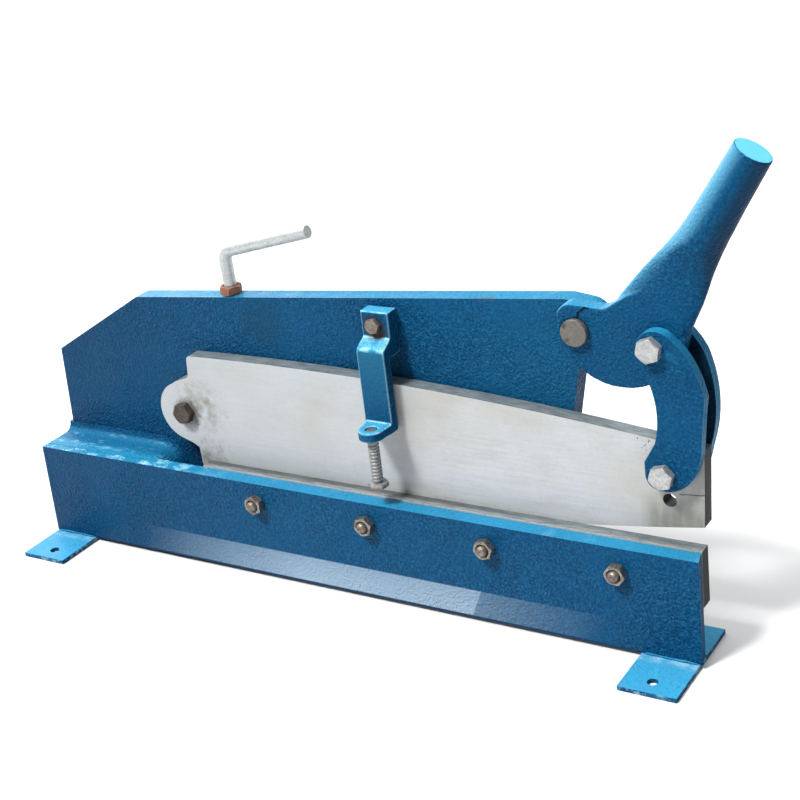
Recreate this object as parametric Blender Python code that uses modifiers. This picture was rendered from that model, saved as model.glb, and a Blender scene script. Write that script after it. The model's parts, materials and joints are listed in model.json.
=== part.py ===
"""Hand-lever bench shear for sheet metal.

Lengths are in metres. X runs along the blades from the pivot end to the lever end, Y from the
operator's side to the rear, and Z up from the bench. The driving dimensions below are taken from
the beam's left end, the beam's front face and the bench; `place` moves them so that the origin
lies on the bench under the middle of the whole machine.
"""

import math

import bmesh
import bpy
from mathutils import Matrix, Vector

MM = 0.001
GAP = 0.3 * MM

# The middle of the machine, from the beam's left end and front face.
MIDDLE_X = 369.0 * MM
MIDDLE_Y = 13.5 * MM

# Front beam, feet and web.
BEAM_LENGTH = 684.7 * MM
BEAM_THICKNESS = 14.4 * MM
BEAM_TOP = 97.4 * MM
END_LEAN = 3.0 * MM
END_SLANT = 3.0 * MM
FOOT_THICKNESS = 4.0 * MM
FOOT_WIDTH = 50.0 * MM
FOOT_FRONT = -50.0 * MM
FOOT_REAR = 56.5 * MM
FOOT_HOLE_Y = -35.0 * MM
FOOT_HOLE_RADIUS = 4.5 * MM
LEFT_FOOT_START = -1.0 * MM
LEFT_FOOT_HOLE_X = 26.0 * MM
RIGHT_FOOT_START = 632.7 * MM
RIGHT_FOOT_HOLE_X = 656.9 * MM
WEB_END = 178.0 * MM
WEB_POCKET_RADIUS = 37.0 * MM
WEB_POCKET_RISE = 2.6 * MM
WEB_FILLET = 8.0 * MM

# Blades. Each one is a slab between two planes of constant Y.
LOWER_BLADE_START = 192.0 * MM
LOWER_BLADE_END = BEAM_LENGTH - 2.5 * MM
LOWER_BLADE_FRONT = BEAM_THICKNESS + GAP
LOWER_BLADE_REAR = 27.2 * MM
LOWER_BLADE_TOP = 98.3 * MM
LOWER_BLADE_HEIGHT = 50.0 * MM
UPPER_BLADE_FRONT = LOWER_BLADE_REAR + GAP
UPPER_BLADE_REAR = 42.0 * MM
CLAMP_BOLT_START = 261.2 * MM
CLAMP_BOLT_PITCH = 118.3 * MM
CLAMP_BOLT_COUNT = 4
CLAMP_BOLT_Z = 78.4 * MM
CLAMP_BOLT_DROP = 0.8 * MM
HEAD_SETBACK = 0.2 * MM
COUNTERSINK_DEPTH = 5.5 * MM
COUNTERSINK_RADIUS = 10.0 * MM
RECESS_RADIUS = 3.5 * MM
RECESS_DEPTH = 3.0 * MM
CUTTER_LEAD = 2.0 * MM

# Upright plate behind the upper blade.
UPRIGHT_FRONT = 43.0 * MM
UPRIGHT_REAR = 61.7 * MM
THROAT_START = 205.0 * MM
THROAT_ROOF = 112.0 * MM
THROAT_CORNER = 20.0 * MM
UPRIGHT_LUG_RADIUS = 17.5 * MM
UPRIGHT_LEFT = 1.0 * MM
UPRIGHT_LEFT_TOP = (11.7 * MM, 186.3 * MM)
UPRIGHT_NECK = (
    (551.2 * MM, THROAT_ROOF),
    (566.4 * MM, 191.8 * MM),
    (573.6 * MM, 229.5 * MM),
    (577.0 * MM, 241.0 * MM),
)
UPRIGHT_TOP_START = (122.0 * MM, 249.8 * MM)
UPRIGHT_TOP_END = (566.0 * MM, 287.2 * MM)

# Pivots of the four-bar linkage, as (X, Z).
BLADE_PIVOT = (171.5 * MM, 145.5 * MM)
LEVER_PIVOT = (581.0 * MM, 267.5 * MM)
UPPER_LINK_PIVOT = (647.0 * MM, 264.5 * MM)
LOWER_LINK_PIVOT = (652.0 * MM, 159.0 * MM)
EAR_RADIUS = 29.3 * MM

# Upper blade's outline, from its heel: cutting edge, arched back, corner, step and ear.
CUTTING_EDGE = ((181.3 * MM, 92.0 * MM), (607.0 * MM, 101.9 * MM), (680.3 * MM, 112.9 * MM))
BLADE_BACK = ((682.5 * MM, 179.0 * MM), (414.0 * MM, 202.0 * MM), (187.0 * MM, 203.2 * MM))
BLADE_CORNER_CENTRE = (187.2 * MM, 199.2 * MM)
BLADE_CORNER_RADIUS = 4.0 * MM
BLADE_STEP = ((181.8 * MM, 183.5 * MM), (180.0 * MM, 181.0 * MM), (165.5 * MM, 175.6 * MM))
BLADE_HEEL = ((174.0 * MM, 113.8 * MM), (180.5 * MM, 110.0 * MM))
SMALL_HOLE = (652.2 * MM, 132.5 * MM)
SMALL_HOLE_RADIUS = 5.8 * MM

# Lever: a flat hub plate that grows into a round stub for a long tube handle.
STUB_END = (724.4 * MM, 414.6 * MM)
STUB_ANGLE = math.radians(59.0)
HUB_ARC_CENTRE = (617.5 * MM, 278.0 * MM)
HUB_ARC_RADIUS = 54.0 * MM
HUB_CORNER_CENTRE = (577.0 * MM, 277.7 * MM)
HUB_CORNER_RADIUS = 12.0 * MM
# Arm sections as (distance from the stub's end, half width to the upper left, half width to the
# lower right, half thickness, squareness). The round stub flattens into the hub plate.
ARM_SECTIONS = (
    (0.0 * MM, 15.4 * MM, 15.4 * MM, 15.4 * MM, 2.0),
    (40.0 * MM, 16.4 * MM, 16.4 * MM, 16.4 * MM, 2.0),
    (70.0 * MM, 17.5 * MM, 17.7 * MM, 17.2 * MM, 2.0),
    (82.0 * MM, 18.7 * MM, 18.7 * MM, 16.2 * MM, 2.0),
    (92.0 * MM, 20.3 * MM, 20.0 * MM, 13.2 * MM, 2.1),
    (101.0 * MM, 22.0 * MM, 21.4 * MM, 10.0 * MM, 2.3),
    (111.0 * MM, 24.3 * MM, 23.6 * MM, 8.0 * MM, 2.6),
    (123.0 * MM, 27.0 * MM, 25.7 * MM, 7.2 * MM, 2.9),
    (141.0 * MM, 30.2 * MM, 27.6 * MM, 7.1 * MM, 3.2),
    (158.0 * MM, 32.6 * MM, 28.6 * MM, 7.0 * MM, 3.4),
)
HUB_TOP_ALONG = 140.0 * MM
HUB_SIDES = ((152.0 * MM, -26.5 * MM), (HUB_TOP_ALONG, -20.0 * MM), (HUB_TOP_ALONG, 20.0 * MM),
             (150.0 * MM, 27.5 * MM))
HUB_SHOULDER = ((612.5 * MM, 293.0 * MM), (606.5 * MM, 289.3 * MM), (598.0 * MM, 288.6 * MM))
SECTION_POINTS = 48

# Links: two side plates, one on each side of the lever and the blade.
LINK_THICKNESS = 10.0 * MM
FRONT_LINK_FRONT = 17.0 * MM
REAR_LINK_FRONT = 42.5 * MM
LINK_TOP_CENTRE = (650.5 * MM, 261.5 * MM)
LINK_TOP_RADIUS = 17.0 * MM
LINK_HEEL_CENTRE = (650.4 * MM, 158.0 * MM)
LINK_HEEL_RADIUS = 13.4 * MM
LINK_HEEL_TOP = (636.9 * MM, 168.6 * MM)
LINK_BOTTOM = ((655.5 * MM, 145.0 * MM), (668.5 * MM, 150.4 * MM), (678.5 * MM, 163.2 * MM))
LINK_HOLLOW = ((636.0 * MM, 252.0 * MM), (649.2 * MM, 209.0 * MM), (646.3 * MM, 185.0 * MM))
FRONT_LINK_BACK = ((683.3 * MM, 178.0 * MM), (686.2 * MM, 212.0 * MM), (688.0 * MM, 227.0 * MM))
FRONT_LINK_SHOULDER = (
    (686.0 * MM, 235.0 * MM),
    (679.5 * MM, 252.0 * MM),
    (668.0 * MM, 268.5 * MM),
)
REAR_LINK_BACK = ((682.4 * MM, 179.0 * MM), (687.2 * MM, 212.0 * MM), (679.0 * MM, 256.0 * MM))
REAR_LINK_SHOULDER = ((674.0 * MM, 264.0 * MM), (668.0 * MM, 271.0 * MM))

# Hold-down bracket, its bolt and its screw.
BRACKET_X = 395.0 * MM
BRACKET_WIDTH = 27.0 * MM
BRACKET_TOP = 266.0 * MM
BRACKET_BOLT = (394.2 * MM, 254.0 * MM)
PAD_FRONT = 28.5 * MM
PAD_BOTTOM = 226.5 * MM
SLOPE_TOP = 243.2 * MM
SLOPE_BOTTOM = (16.7 * MM, 236.8 * MM)
SLOPE_TOE = 234.0 * MM
ARM_FRONT = 15.5 * MM
ARM_REAR = 25.5 * MM
EAR_TOP = 170.0 * MM
EAR_BOTTOM = 161.0 * MM
EAR_TIP_RADIUS = 11.5 * MM
EAR_ROOT = 2.0 * MM
EAR_SHOULDER = 0.5 * MM
HOLD_DOWN_Y = 3.5 * MM
HOLD_DOWN_HEAD_BOTTOM = 115.0 * MM
HOLD_DOWN_TOP = 168.5 * MM

# L-shaped locking screw in the upright's top edge.
LOCK_X = 228.8 * MM
LOCK_Y = 0.5 * (UPRIGHT_FRONT + UPRIGHT_REAR)
LOCK_RADIUS = 6.0 * MM
LOCK_DEPTH = 30.0 * MM
CLEAR_DEPTH = 1.0 * MM
LOCK_ELBOW_Z = 299.0 * MM
LOCK_LEG_LEAN = math.radians(2.5)
LOCK_ARM_LENGTH = 98.0 * MM
LOCK_ARM_TILT = math.radians(14.5)
LOCK_BEND_RADIUS = 11.0 * MM
LOCK_BEND_STEPS = 10
LOCK_NUT_LIFT = 0.9 * MM
LOCK_NUT_HEIGHT = 8.0 * MM

# Fasteners: shank radius, width across the flats, head height, nut height.
M8 = (4.0 * MM, 12.0 * MM, 5.0 * MM, 6.5 * MM)
M10 = (5.0 * MM, 16.0 * MM, 6.4 * MM, 8.0 * MM)
M12 = (6.0 * MM, 18.0 * MM, 7.5 * MM, 10.0 * MM)
HOLD_DOWN_FLATS = 16.0 * MM
HOLD_DOWN_HEAD = 4.6 * MM
WASHER_THICKNESS = 2.0 * MM
M12_WASHER_RADIUS = 12.0 * MM
PIN_WASHER_RADIUS = 15.0 * MM
CHAMFER = 1.0 * MM
STUD_END = 3.5 * MM
OPEN_PIVOT_RADIUS = 10.3 * MM
LEVER_PIN_RADIUS = 8.0 * MM
LEVER_PIN_HEAD_RADIUS = 11.2 * MM
LEVER_PIN_HEAD = 4.8 * MM
LEVER_PIN_EDGE = 0.5 * MM
SPLIT_PIN_RADIUS = 1.6 * MM
SPLIT_PIN_OFFSET = 2.6 * MM
SPLIT_PIN_MARGIN = 4.5 * MM
SPLIT_PIN_BEND = 9.0 * MM
SPLIT_PIN_HEAD_RISE = 5.5 * MM
SPLIT_PIN_TAIL_DROP = 2.0 * MM
BLADE_BUSH_RADIUS = 8.4 * MM
LEVER_BUSH_RADIUS = 10.4 * MM
CIRCLE_STEPS = 48
CUTTER_MARGIN = 10.0 * MM


def clear_scene():
    """Remove every object, so that the script starts from an empty scene."""
    for item in list(bpy.data.objects):
        bpy.data.objects.remove(item, do_unlink=True)


def new_collection(name):
    """Add a collection to the scene."""
    collection = bpy.data.collections.new(name)
    bpy.context.scene.collection.children.link(collection)
    return collection


def new_material(name, colour, roughness, metallic):
    """Make a plain Principled material."""
    material = bpy.data.materials.new(name)
    material.use_nodes = True
    shader = material.node_tree.nodes["Principled BSDF"]
    shader.inputs["Base Color"].default_value = (*colour, 1.0)
    shader.inputs["Roughness"].default_value = roughness
    shader.inputs["Metallic"].default_value = metallic
    return material


def place(x, y, z):
    """Turn a point measured from the beam's corner into a world point."""
    return Vector((x - MIDDLE_X, y - MIDDLE_Y, z))


def arc(centre, radius, start, end, steps):
    """Points on a circle from one angle to another, in degrees, ends included."""
    points = []
    for index in range(steps + 1):
        angle = math.radians(start + (end - start) * index / steps)
        points.append((centre[0] + radius * math.cos(angle), centre[1] + radius * math.sin(angle)))
    return points


def arc_through(first, middle, last, steps):
    """Points on the circle through three points, from the first to the last."""
    a, b, c = Vector(first), Vector(middle), Vector(last)
    twice_area = 2.0 * (a.x * (b.y - c.y) + b.x * (c.y - a.y) + c.x * (a.y - b.y))
    squares = [point.length_squared for point in (a, b, c)]
    x = squares[0] * (b.y - c.y) + squares[1] * (c.y - a.y) + squares[2] * (a.y - b.y)
    y = squares[0] * (c.x - b.x) + squares[1] * (a.x - c.x) + squares[2] * (b.x - a.x)
    centre = Vector((x, y)) / twice_area
    start = math.degrees(math.atan2(a.y - centre.y, a.x - centre.x))
    end = math.degrees(math.atan2(c.y - centre.y, c.x - centre.x))
    sweep = (end - start + 180.0) % 360.0 - 180.0
    return arc(centre, (a - centre).length, start, start + sweep, steps)


def circle(centre, radius, steps=CIRCLE_STEPS):
    """A closed circle as a list of points."""
    return arc(centre, radius, 0.0, 360.0, steps)[:-1]


def hexagon(centre, flats):
    """A closed hexagon from its width across the flats, with one corner up."""
    return arc(centre, flats / math.sqrt(3.0), 90.0, 450.0, 6)[:-1]


def mesh_object(name, mesh, material, collection):
    """Add an object with a mesh and a material."""
    item = bpy.data.objects.new(name, mesh)
    mesh.materials.clear()
    mesh.materials.append(material)
    collection.objects.link(item)
    return item


def slab_mesh(name, outlines, thickness):
    """Mesh of a flat outline in XY, with holes, that reaches half its thickness to each side."""
    curve = bpy.data.curves.new(name, "CURVE")
    curve.dimensions = "2D"
    curve.fill_mode = "BOTH"
    curve.extrude = 0.5 * thickness
    for outline in outlines:
        spline = curve.splines.new("POLY")
        spline.points.add(len(outline) - 1)
        for point, (x, y) in zip(spline.points, outline):
            point.co = (x, y, 0.0, 1.0)
        spline.use_cyclic_u = True
    return mesh_from_curve(name, curve)


def mesh_from_curve(name, curve):
    """Turn a curve into a closed mesh and remove the curve."""
    guide = bpy.data.objects.new(name + "_curve", curve)
    bpy.context.scene.collection.objects.link(guide)
    evaluated = guide.evaluated_get(bpy.context.evaluated_depsgraph_get())
    mesh = bpy.data.meshes.new_from_object(evaluated)
    mesh.name = name
    bpy.data.objects.remove(guide, do_unlink=True)
    bpy.data.curves.remove(curve)
    shape = bmesh.new()
    shape.from_mesh(mesh)
    bmesh.ops.remove_doubles(shape, verts=shape.verts, dist=0.01 * MM)
    bmesh.ops.recalc_face_normals(shape, faces=shape.faces)
    shape.to_mesh(mesh)
    shape.free()
    return mesh


def shade_round(item):
    """Shade an object smooth, with its sharp edges kept."""
    item.data.shade_smooth()
    item.data.set_sharp_from_angle(angle=math.radians(35.0))


def upright_slab(name, outlines, front, rear, material, collection, pivot=(0.0, 0.0)):
    """A slab that stands in the XZ plane, between two Y planes, with its origin at a pivot."""
    local = [[(x - pivot[0], z - pivot[1]) for x, z in outline] for outline in outlines]
    mesh = slab_mesh(name, local, rear - front)
    mesh.transform(Matrix.Rotation(math.radians(90.0), 4, "X"))
    item = mesh_object(name, mesh, material, collection)
    item.location = place(pivot[0], 0.5 * (front + rear), pivot[1])
    shade_round(item)
    return item


def cylinder_mesh(name, radius, length, sides=CIRCLE_STEPS):
    """Mesh of a closed cylinder along Z, centred on the origin."""
    mesh = bpy.data.meshes.new(name)
    shape = bmesh.new()
    bmesh.ops.create_cone(
        shape, cap_ends=True, segments=sides, radius1=radius, radius2=radius, depth=length
    )
    shape.to_mesh(mesh)
    shape.free()
    return mesh


def boolean(item, other, operation):
    """Cut another object from this one, or join it on."""
    modifier = item.modifiers.new(operation.title() + "_" + other.name, "BOOLEAN")
    modifier.operation = operation
    modifier.solver = "EXACT"
    modifier.object = other


def hide_cutter(item):
    """Mark an object as a cutter."""
    item.hide_render = True
    item.display_type = "WIRE"


def turned(name, profile, pivot, y_start, material, collection):
    """A turned piece along Y: its profile is (distance along Y, radius), front to rear."""
    mesh = bpy.data.meshes.new(name)
    shape = bmesh.new()
    verts = [shape.verts.new((radius, 0.0, -along)) for along, radius in profile]
    for first, second in zip(verts, verts[1:]):
        shape.edges.new((first, second))
    shape.to_mesh(mesh)
    shape.free()
    item = mesh_object(name, mesh, material, collection)
    item.rotation_euler = (math.radians(90.0), 0.0, 0.0)
    item.location = place(pivot[0], y_start, pivot[1])
    screw = item.modifiers.new("Turn", "SCREW")
    screw.steps = CIRCLE_STEPS
    screw.render_steps = CIRCLE_STEPS
    screw.use_merge_vertices = True
    screw.merge_threshold = 0.01 * MM
    screw.use_smooth_shade = False
    return item


def hex_bolt(name, size, pivot, seat, length, material, collection, cutters):
    """A hexagon-head bolt along Y: the head lies in front of its seat, the shank behind it."""
    radius, flats, head, _ = size
    item = upright_slab(
        name, [hexagon(pivot, flats)], seat - head, seat, material, collection, pivot
    )
    root = 0.5 * head
    mesh = cylinder_mesh(name + "_shank", radius, length + root)
    shank = mesh_object(name + "_shank", mesh, material, cutters)
    shank.rotation_euler = (math.radians(90.0), 0.0, 0.0)
    shank.location = place(pivot[0], seat + 0.5 * (length - root), pivot[1])
    hide_cutter(shank)
    boolean(item, shank, "UNION")
    return item


def hex_nut(name, size, pivot, front, material, collection):
    """A hexagon nut along Y, with its bore."""
    radius, flats, _, height = size
    outlines = [hexagon(pivot, flats), circle(pivot, radius + GAP)]
    return upright_slab(name, outlines, front, front + height, material, collection, pivot)


def washer(name, bore, radius, pivot, front, material, collection, thickness=WASHER_THICKNESS):
    """A flat ring along Y."""
    outlines = [circle(pivot, radius), circle(pivot, bore + GAP)]
    return upright_slab(name, outlines, front, front + thickness, material, collection, pivot)


def build_feet(paint, parts):
    """Two flat bars under the beam's ends, each with one hole for a bench bolt."""
    feet = {
        "left_foot": (LEFT_FOOT_START, LEFT_FOOT_HOLE_X),
        "right_foot": (RIGHT_FOOT_START, RIGHT_FOOT_HOLE_X),
    }
    for name, (start, hole_x) in feet.items():
        outer = [
            (start, FOOT_FRONT),
            (start + FOOT_WIDTH, FOOT_FRONT),
            (start + FOOT_WIDTH, FOOT_REAR),
            (start, FOOT_REAR),
        ]
        hole = circle((hole_x, FOOT_HOLE_Y), FOOT_HOLE_RADIUS)
        foot = mesh_object(name, slab_mesh(name, [outer, hole], FOOT_THICKNESS), paint, parts)
        foot.location = place(0.0, 0.0, 0.5 * FOOT_THICKNESS)
        shade_round(foot)


def clamp_bolt_pivots():
    """Centres of the bolts that hold the lower blade on the beam, as (X, Z)."""
    return [
        (CLAMP_BOLT_START + index * CLAMP_BOLT_PITCH, CLAMP_BOLT_Z - index * CLAMP_BOLT_DROP)
        for index in range(CLAMP_BOLT_COUNT)
    ]


def build_beam(paint, parts):
    """The front beam: a flat bar on edge that carries the lower blade on its rear face."""
    bottom = FOOT_THICKNESS + GAP
    outline = [
        (LEFT_FOOT_START, bottom),
        (BEAM_LENGTH, bottom),
        (BEAM_LENGTH, BEAM_TOP),
        (LEFT_FOOT_START + END_LEAN, BEAM_TOP),
    ]
    holes = [circle(pivot, M10[0] + GAP) for pivot in clamp_bolt_pivots()]
    beam = upright_slab("front_beam", [outline, *holes], 0.0, BEAM_THICKNESS, paint, parts)
    for vertex in beam.data.vertices:
        if vertex.co.x > LOWER_BLADE_END and vertex.co.y > 0.0:
            vertex.co.x -= END_SLANT


def build_web(paint, parts, cutters):
    """The block that joins the beam to the upright, with a hollow end below the blade's ear."""
    front = BEAM_THICKNESS + GAP
    rear = UPRIGHT_FRONT - GAP
    fillet_centre = (rear - WEB_FILLET, BEAM_TOP + WEB_FILLET)
    section = [(front, FOOT_THICKNESS + GAP), (rear, FOOT_THICKNESS + GAP)]
    section += arc(fillet_centre, WEB_FILLET, 0.0, -90.0, 10)
    section += [(front, BEAM_TOP)]
    start = END_LEAN
    mesh = slab_mesh("web_block", [section], WEB_END - start)
    turn = Matrix(((0.0, 0.0, 1.0), (1.0, 0.0, 0.0), (0.0, 1.0, 0.0))).to_4x4()
    mesh.transform(turn)
    web = mesh_object("web_block", mesh, paint, parts)
    web.location = place(0.5 * (start + WEB_END), 0.0, 0.0)
    shade_round(web)
    reach = rear - front + 2.0 * CUTTER_MARGIN
    mesh = cylinder_mesh("web_pocket", WEB_POCKET_RADIUS, reach, 64)
    pocket = mesh_object("web_pocket", mesh, paint, cutters)
    pocket.rotation_euler = (math.radians(90.0), 0.0, 0.0)
    pocket.location = place(WEB_END, 0.5 * (front + rear), BEAM_TOP + WEB_POCKET_RISE)
    hide_cutter(pocket)
    boolean(web, pocket, "DIFFERENCE")


def build_upright(paint, parts, cutters):
    """The rear plate: a tall left end, and an arm over the throat that ends at the lever pin."""
    bottom = FOOT_THICKNESS + GAP
    outline = [(UPRIGHT_LEFT, bottom), (THROAT_START, bottom)]
    outline += arc((THROAT_START + THROAT_CORNER, THROAT_ROOF - THROAT_CORNER),
                   THROAT_CORNER, 180.0, 90.0, 10)
    outline += UPRIGHT_NECK
    outline += arc(LEVER_PIVOT, UPRIGHT_LUG_RADIUS, -50.0, 88.0, 20)
    outline += [UPRIGHT_TOP_END, UPRIGHT_TOP_START, UPRIGHT_LEFT_TOP]
    holes = [
        circle(BLADE_PIVOT, M12[0] + GAP),
        circle(LEVER_PIVOT, LEVER_PIN_RADIUS + GAP),
        circle(BRACKET_BOLT, M8[0] + GAP),
    ]
    upright = upright_slab(
        "upright_plate", [outline, *holes], UPRIGHT_FRONT, UPRIGHT_REAR, paint, parts
    )
    bore = mesh_object("lock_bore", cylinder_mesh("lock_bore", LOCK_RADIUS + GAP, 2.0 * LOCK_DEPTH),
                       paint, cutters)
    bore.location = place(LOCK_X, LOCK_Y, upright_top(LOCK_X))
    hide_cutter(bore)
    boolean(upright, bore, "DIFFERENCE")


def upright_top(x):
    """Height of the upright's rising top edge."""
    (start_x, start_z), (end_x, end_z) = UPRIGHT_TOP_START, UPRIGHT_TOP_END
    return start_z + (end_z - start_z) * (x - start_x) / (end_x - start_x)


def build_lower_blade(steel, bolt_steel, parts, cutters):
    """The fixed blade, its countersunk bolts and the nuts on the beam's front face."""
    outline = [
        (LOWER_BLADE_START, LOWER_BLADE_TOP - LOWER_BLADE_HEIGHT),
        (LOWER_BLADE_END, LOWER_BLADE_TOP - LOWER_BLADE_HEIGHT),
        (LOWER_BLADE_END, LOWER_BLADE_TOP),
        (LOWER_BLADE_START, LOWER_BLADE_TOP),
    ]
    radius, _, _, nut = M10
    blade = upright_slab("lower_blade", [outline], LOWER_BLADE_FRONT, LOWER_BLADE_REAR, steel,
                         parts)
    stud_start = -(nut + GAP + STUD_END)
    length = LOWER_BLADE_REAR - stud_start - HEAD_SETBACK
    bolt_profile = [
        (0.0, 0.0),
        (0.0, radius - CHAMFER),
        (CHAMFER, radius),
        (length - COUNTERSINK_DEPTH, radius),
        (length, COUNTERSINK_RADIUS),
        (length, RECESS_RADIUS),
        (length - RECESS_DEPTH, RECESS_RADIUS),
        (length - RECESS_DEPTH, 0.0),
    ]
    bore_front = LOWER_BLADE_FRONT - CUTTER_LEAD
    cone_start = LOWER_BLADE_REAR - HEAD_SETBACK - COUNTERSINK_DEPTH - bore_front
    cone_end = cone_start + COUNTERSINK_DEPTH + HEAD_SETBACK
    cone_radius = COUNTERSINK_RADIUS + 2.0 * GAP
    bore_profile = [
        (0.0, 0.0),
        (0.0, radius + GAP),
        (cone_start, radius + GAP),
        (cone_end, cone_radius),
        (cone_end + CUTTER_LEAD, cone_radius),
        (cone_end + CUTTER_LEAD, 0.0),
    ]
    for number, pivot in enumerate(clamp_bolt_pivots(), start=1):
        turned(f"clamp_bolt_{number}", bolt_profile, pivot, stud_start, bolt_steel, parts)
        hex_nut(f"clamp_nut_{number}", M10, pivot, -(nut + GAP), bolt_steel, parts)
        bore = turned(f"clamp_bore_{number}", bore_profile, pivot, bore_front, steel, cutters)
        hide_cutter(bore)
        boolean(blade, bore, "DIFFERENCE")


def build_upper_blade(steel, bronze, parts):
    """The moving blade: an ear round its pivot, an arched back and a bowed cutting edge."""
    outline = arc_through(*CUTTING_EDGE, 28)
    outline += arc_through(*BLADE_BACK, 28)
    outline += arc(BLADE_CORNER_CENTRE, BLADE_CORNER_RADIUS, 90.0, 180.0, 6)[1:]
    outline += BLADE_STEP
    outline += arc(BLADE_PIVOT, EAR_RADIUS, 112.0, 252.0, 36)
    outline += BLADE_HEEL
    holes = [
        circle(BLADE_PIVOT, BLADE_BUSH_RADIUS + GAP),
        circle(LOWER_LINK_PIVOT, OPEN_PIVOT_RADIUS),
        circle(SMALL_HOLE, SMALL_HOLE_RADIUS),
    ]
    upright_slab("upper_blade", [outline, *holes], UPPER_BLADE_FRONT, UPPER_BLADE_REAR, steel,
                 parts, BLADE_PIVOT)
    washer("blade_pivot_bush", M12[0], BLADE_BUSH_RADIUS, BLADE_PIVOT, UPPER_BLADE_FRONT, bronze,
           parts, UPPER_BLADE_REAR - UPPER_BLADE_FRONT)


def build_blade_pivot(dark_steel, parts, cutters):
    """Bolt, washer and nut on which the upper blade swings."""
    length = UPRIGHT_REAR - UPPER_BLADE_FRONT + WASHER_THICKNESS + M12[3] + STUD_END
    hex_bolt("blade_pivot_bolt", M12, BLADE_PIVOT, UPPER_BLADE_FRONT - GAP, length, dark_steel,
             parts, cutters)
    rear = UPRIGHT_REAR + GAP
    washer("blade_pivot_washer", M12[0], M12_WASHER_RADIUS, BLADE_PIVOT, rear, dark_steel, parts)
    hex_nut("blade_pivot_nut", M12, BLADE_PIVOT, rear + WASHER_THICKNESS + GAP, dark_steel, parts)


def stub_point(along, offset):
    """A point beside the stub's axis: distance from its end, then offset to the upper left."""
    x = STUB_END[0] - along * math.cos(STUB_ANGLE) - offset * math.sin(STUB_ANGLE)
    z = STUB_END[1] - along * math.sin(STUB_ANGLE) + offset * math.cos(STUB_ANGLE)
    return (x, z)


def lever_outline():
    """Outline of the lever's flat hub plate, whose top disappears inside the arm."""
    outline = arc(HUB_ARC_CENTRE, HUB_ARC_RADIUS, 195.0, 352.0, 48)
    outline += [stub_point(along, offset) for along, offset in HUB_SIDES]
    outline += arc_through(*HUB_SHOULDER, 6)
    outline += arc(HUB_CORNER_CENTRE, HUB_CORNER_RADIUS, 90.0, 180.0, 10)
    return outline


def section_ring(shape, along, left, right, half_thickness, squareness):
    """A ring of vertices round the stub's axis: an ellipse that can swell towards a box."""
    ring = []
    for index in range(SECTION_POINTS):
        angle = 2.0 * math.pi * index / SECTION_POINTS
        power = 2.0 / squareness
        half_width = left if math.cos(angle) > 0.0 else right
        across = half_width * math.copysign(abs(math.cos(angle)) ** power, math.cos(angle))
        depth = half_thickness * math.copysign(abs(math.sin(angle)) ** power, math.sin(angle))
        x, z = stub_point(along, across)
        ring.append(shape.verts.new((x - LEVER_PIVOT[0], depth, z - LEVER_PIVOT[1])))
    return ring


def arm_mesh():
    """Loft from the stub's round end to the flat section inside the hub plate."""
    mesh = bpy.data.meshes.new("lever_arm")
    shape = bmesh.new()
    rings = [section_ring(shape, *section) for section in ARM_SECTIONS]
    for upper, lower in zip(rings, rings[1:]):
        for index in range(SECTION_POINTS):
            after = (index + 1) % SECTION_POINTS
            shape.faces.new((upper[index], upper[after], lower[after], lower[index]))
    shape.faces.new(rings[0])
    shape.faces.new(reversed(rings[-1]))
    bmesh.ops.recalc_face_normals(shape, faces=shape.faces)
    shape.to_mesh(mesh)
    shape.free()
    return mesh


def build_lever(paint, bronze, parts, cutters):
    """The lever: a flat hub plate with two bores, joined to the arm and its round stub."""
    holes = [
        circle(LEVER_PIVOT, LEVER_BUSH_RADIUS + GAP),
        circle(UPPER_LINK_PIVOT, M12[0] + GAP),
    ]
    lever = upright_slab("lever", [lever_outline(), *holes], UPPER_BLADE_FRONT, UPPER_BLADE_REAR,
                         paint, parts, LEVER_PIVOT)
    arm = mesh_object("lever_arm", arm_mesh(), paint, cutters)
    arm.location = lever.location
    hide_cutter(arm)
    boolean(lever, arm, "UNION")
    washer("lever_pin_bush", LEVER_PIN_RADIUS, LEVER_BUSH_RADIUS, LEVER_PIVOT, UPPER_BLADE_FRONT,
           bronze, parts, UPPER_BLADE_REAR - UPPER_BLADE_FRONT)


def build_lever_pin(dark_steel, parts, cutters):
    """The headed pin of the lever, with its rear washer and split pin."""
    head_front = UPPER_BLADE_FRONT - GAP - LEVER_PIN_HEAD
    washer_front = UPRIGHT_REAR + GAP
    split_y = washer_front + WASHER_THICKNESS + SPLIT_PIN_OFFSET
    tip = split_y + SPLIT_PIN_MARGIN
    profile = [
        (0.0, 0.0),
        (0.0, LEVER_PIN_HEAD_RADIUS - LEVER_PIN_EDGE),
        (LEVER_PIN_EDGE, LEVER_PIN_HEAD_RADIUS),
        (LEVER_PIN_HEAD, LEVER_PIN_HEAD_RADIUS),
        (LEVER_PIN_HEAD, LEVER_PIN_RADIUS),
        (tip - head_front - CHAMFER, LEVER_PIN_RADIUS),
        (tip - head_front, LEVER_PIN_RADIUS - CHAMFER),
        (tip - head_front, 0.0),
    ]
    pin = turned("lever_pin", profile, LEVER_PIVOT, head_front, dark_steel, parts)
    washer("lever_pin_washer", LEVER_PIN_RADIUS, PIN_WASHER_RADIUS, LEVER_PIVOT, washer_front,
           dark_steel, parts)
    reach = 2.0 * (LEVER_PIN_RADIUS + CUTTER_MARGIN)
    mesh = cylinder_mesh("split_pin_hole", SPLIT_PIN_RADIUS + GAP, reach, 16)
    hole = mesh_object("split_pin_hole", mesh, dark_steel, cutters)
    hole.location = place(LEVER_PIVOT[0], split_y, LEVER_PIVOT[1])
    hide_cutter(hole)
    boolean(pin, hole, "DIFFERENCE")
    build_split_pin(split_y, dark_steel, parts)


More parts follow.
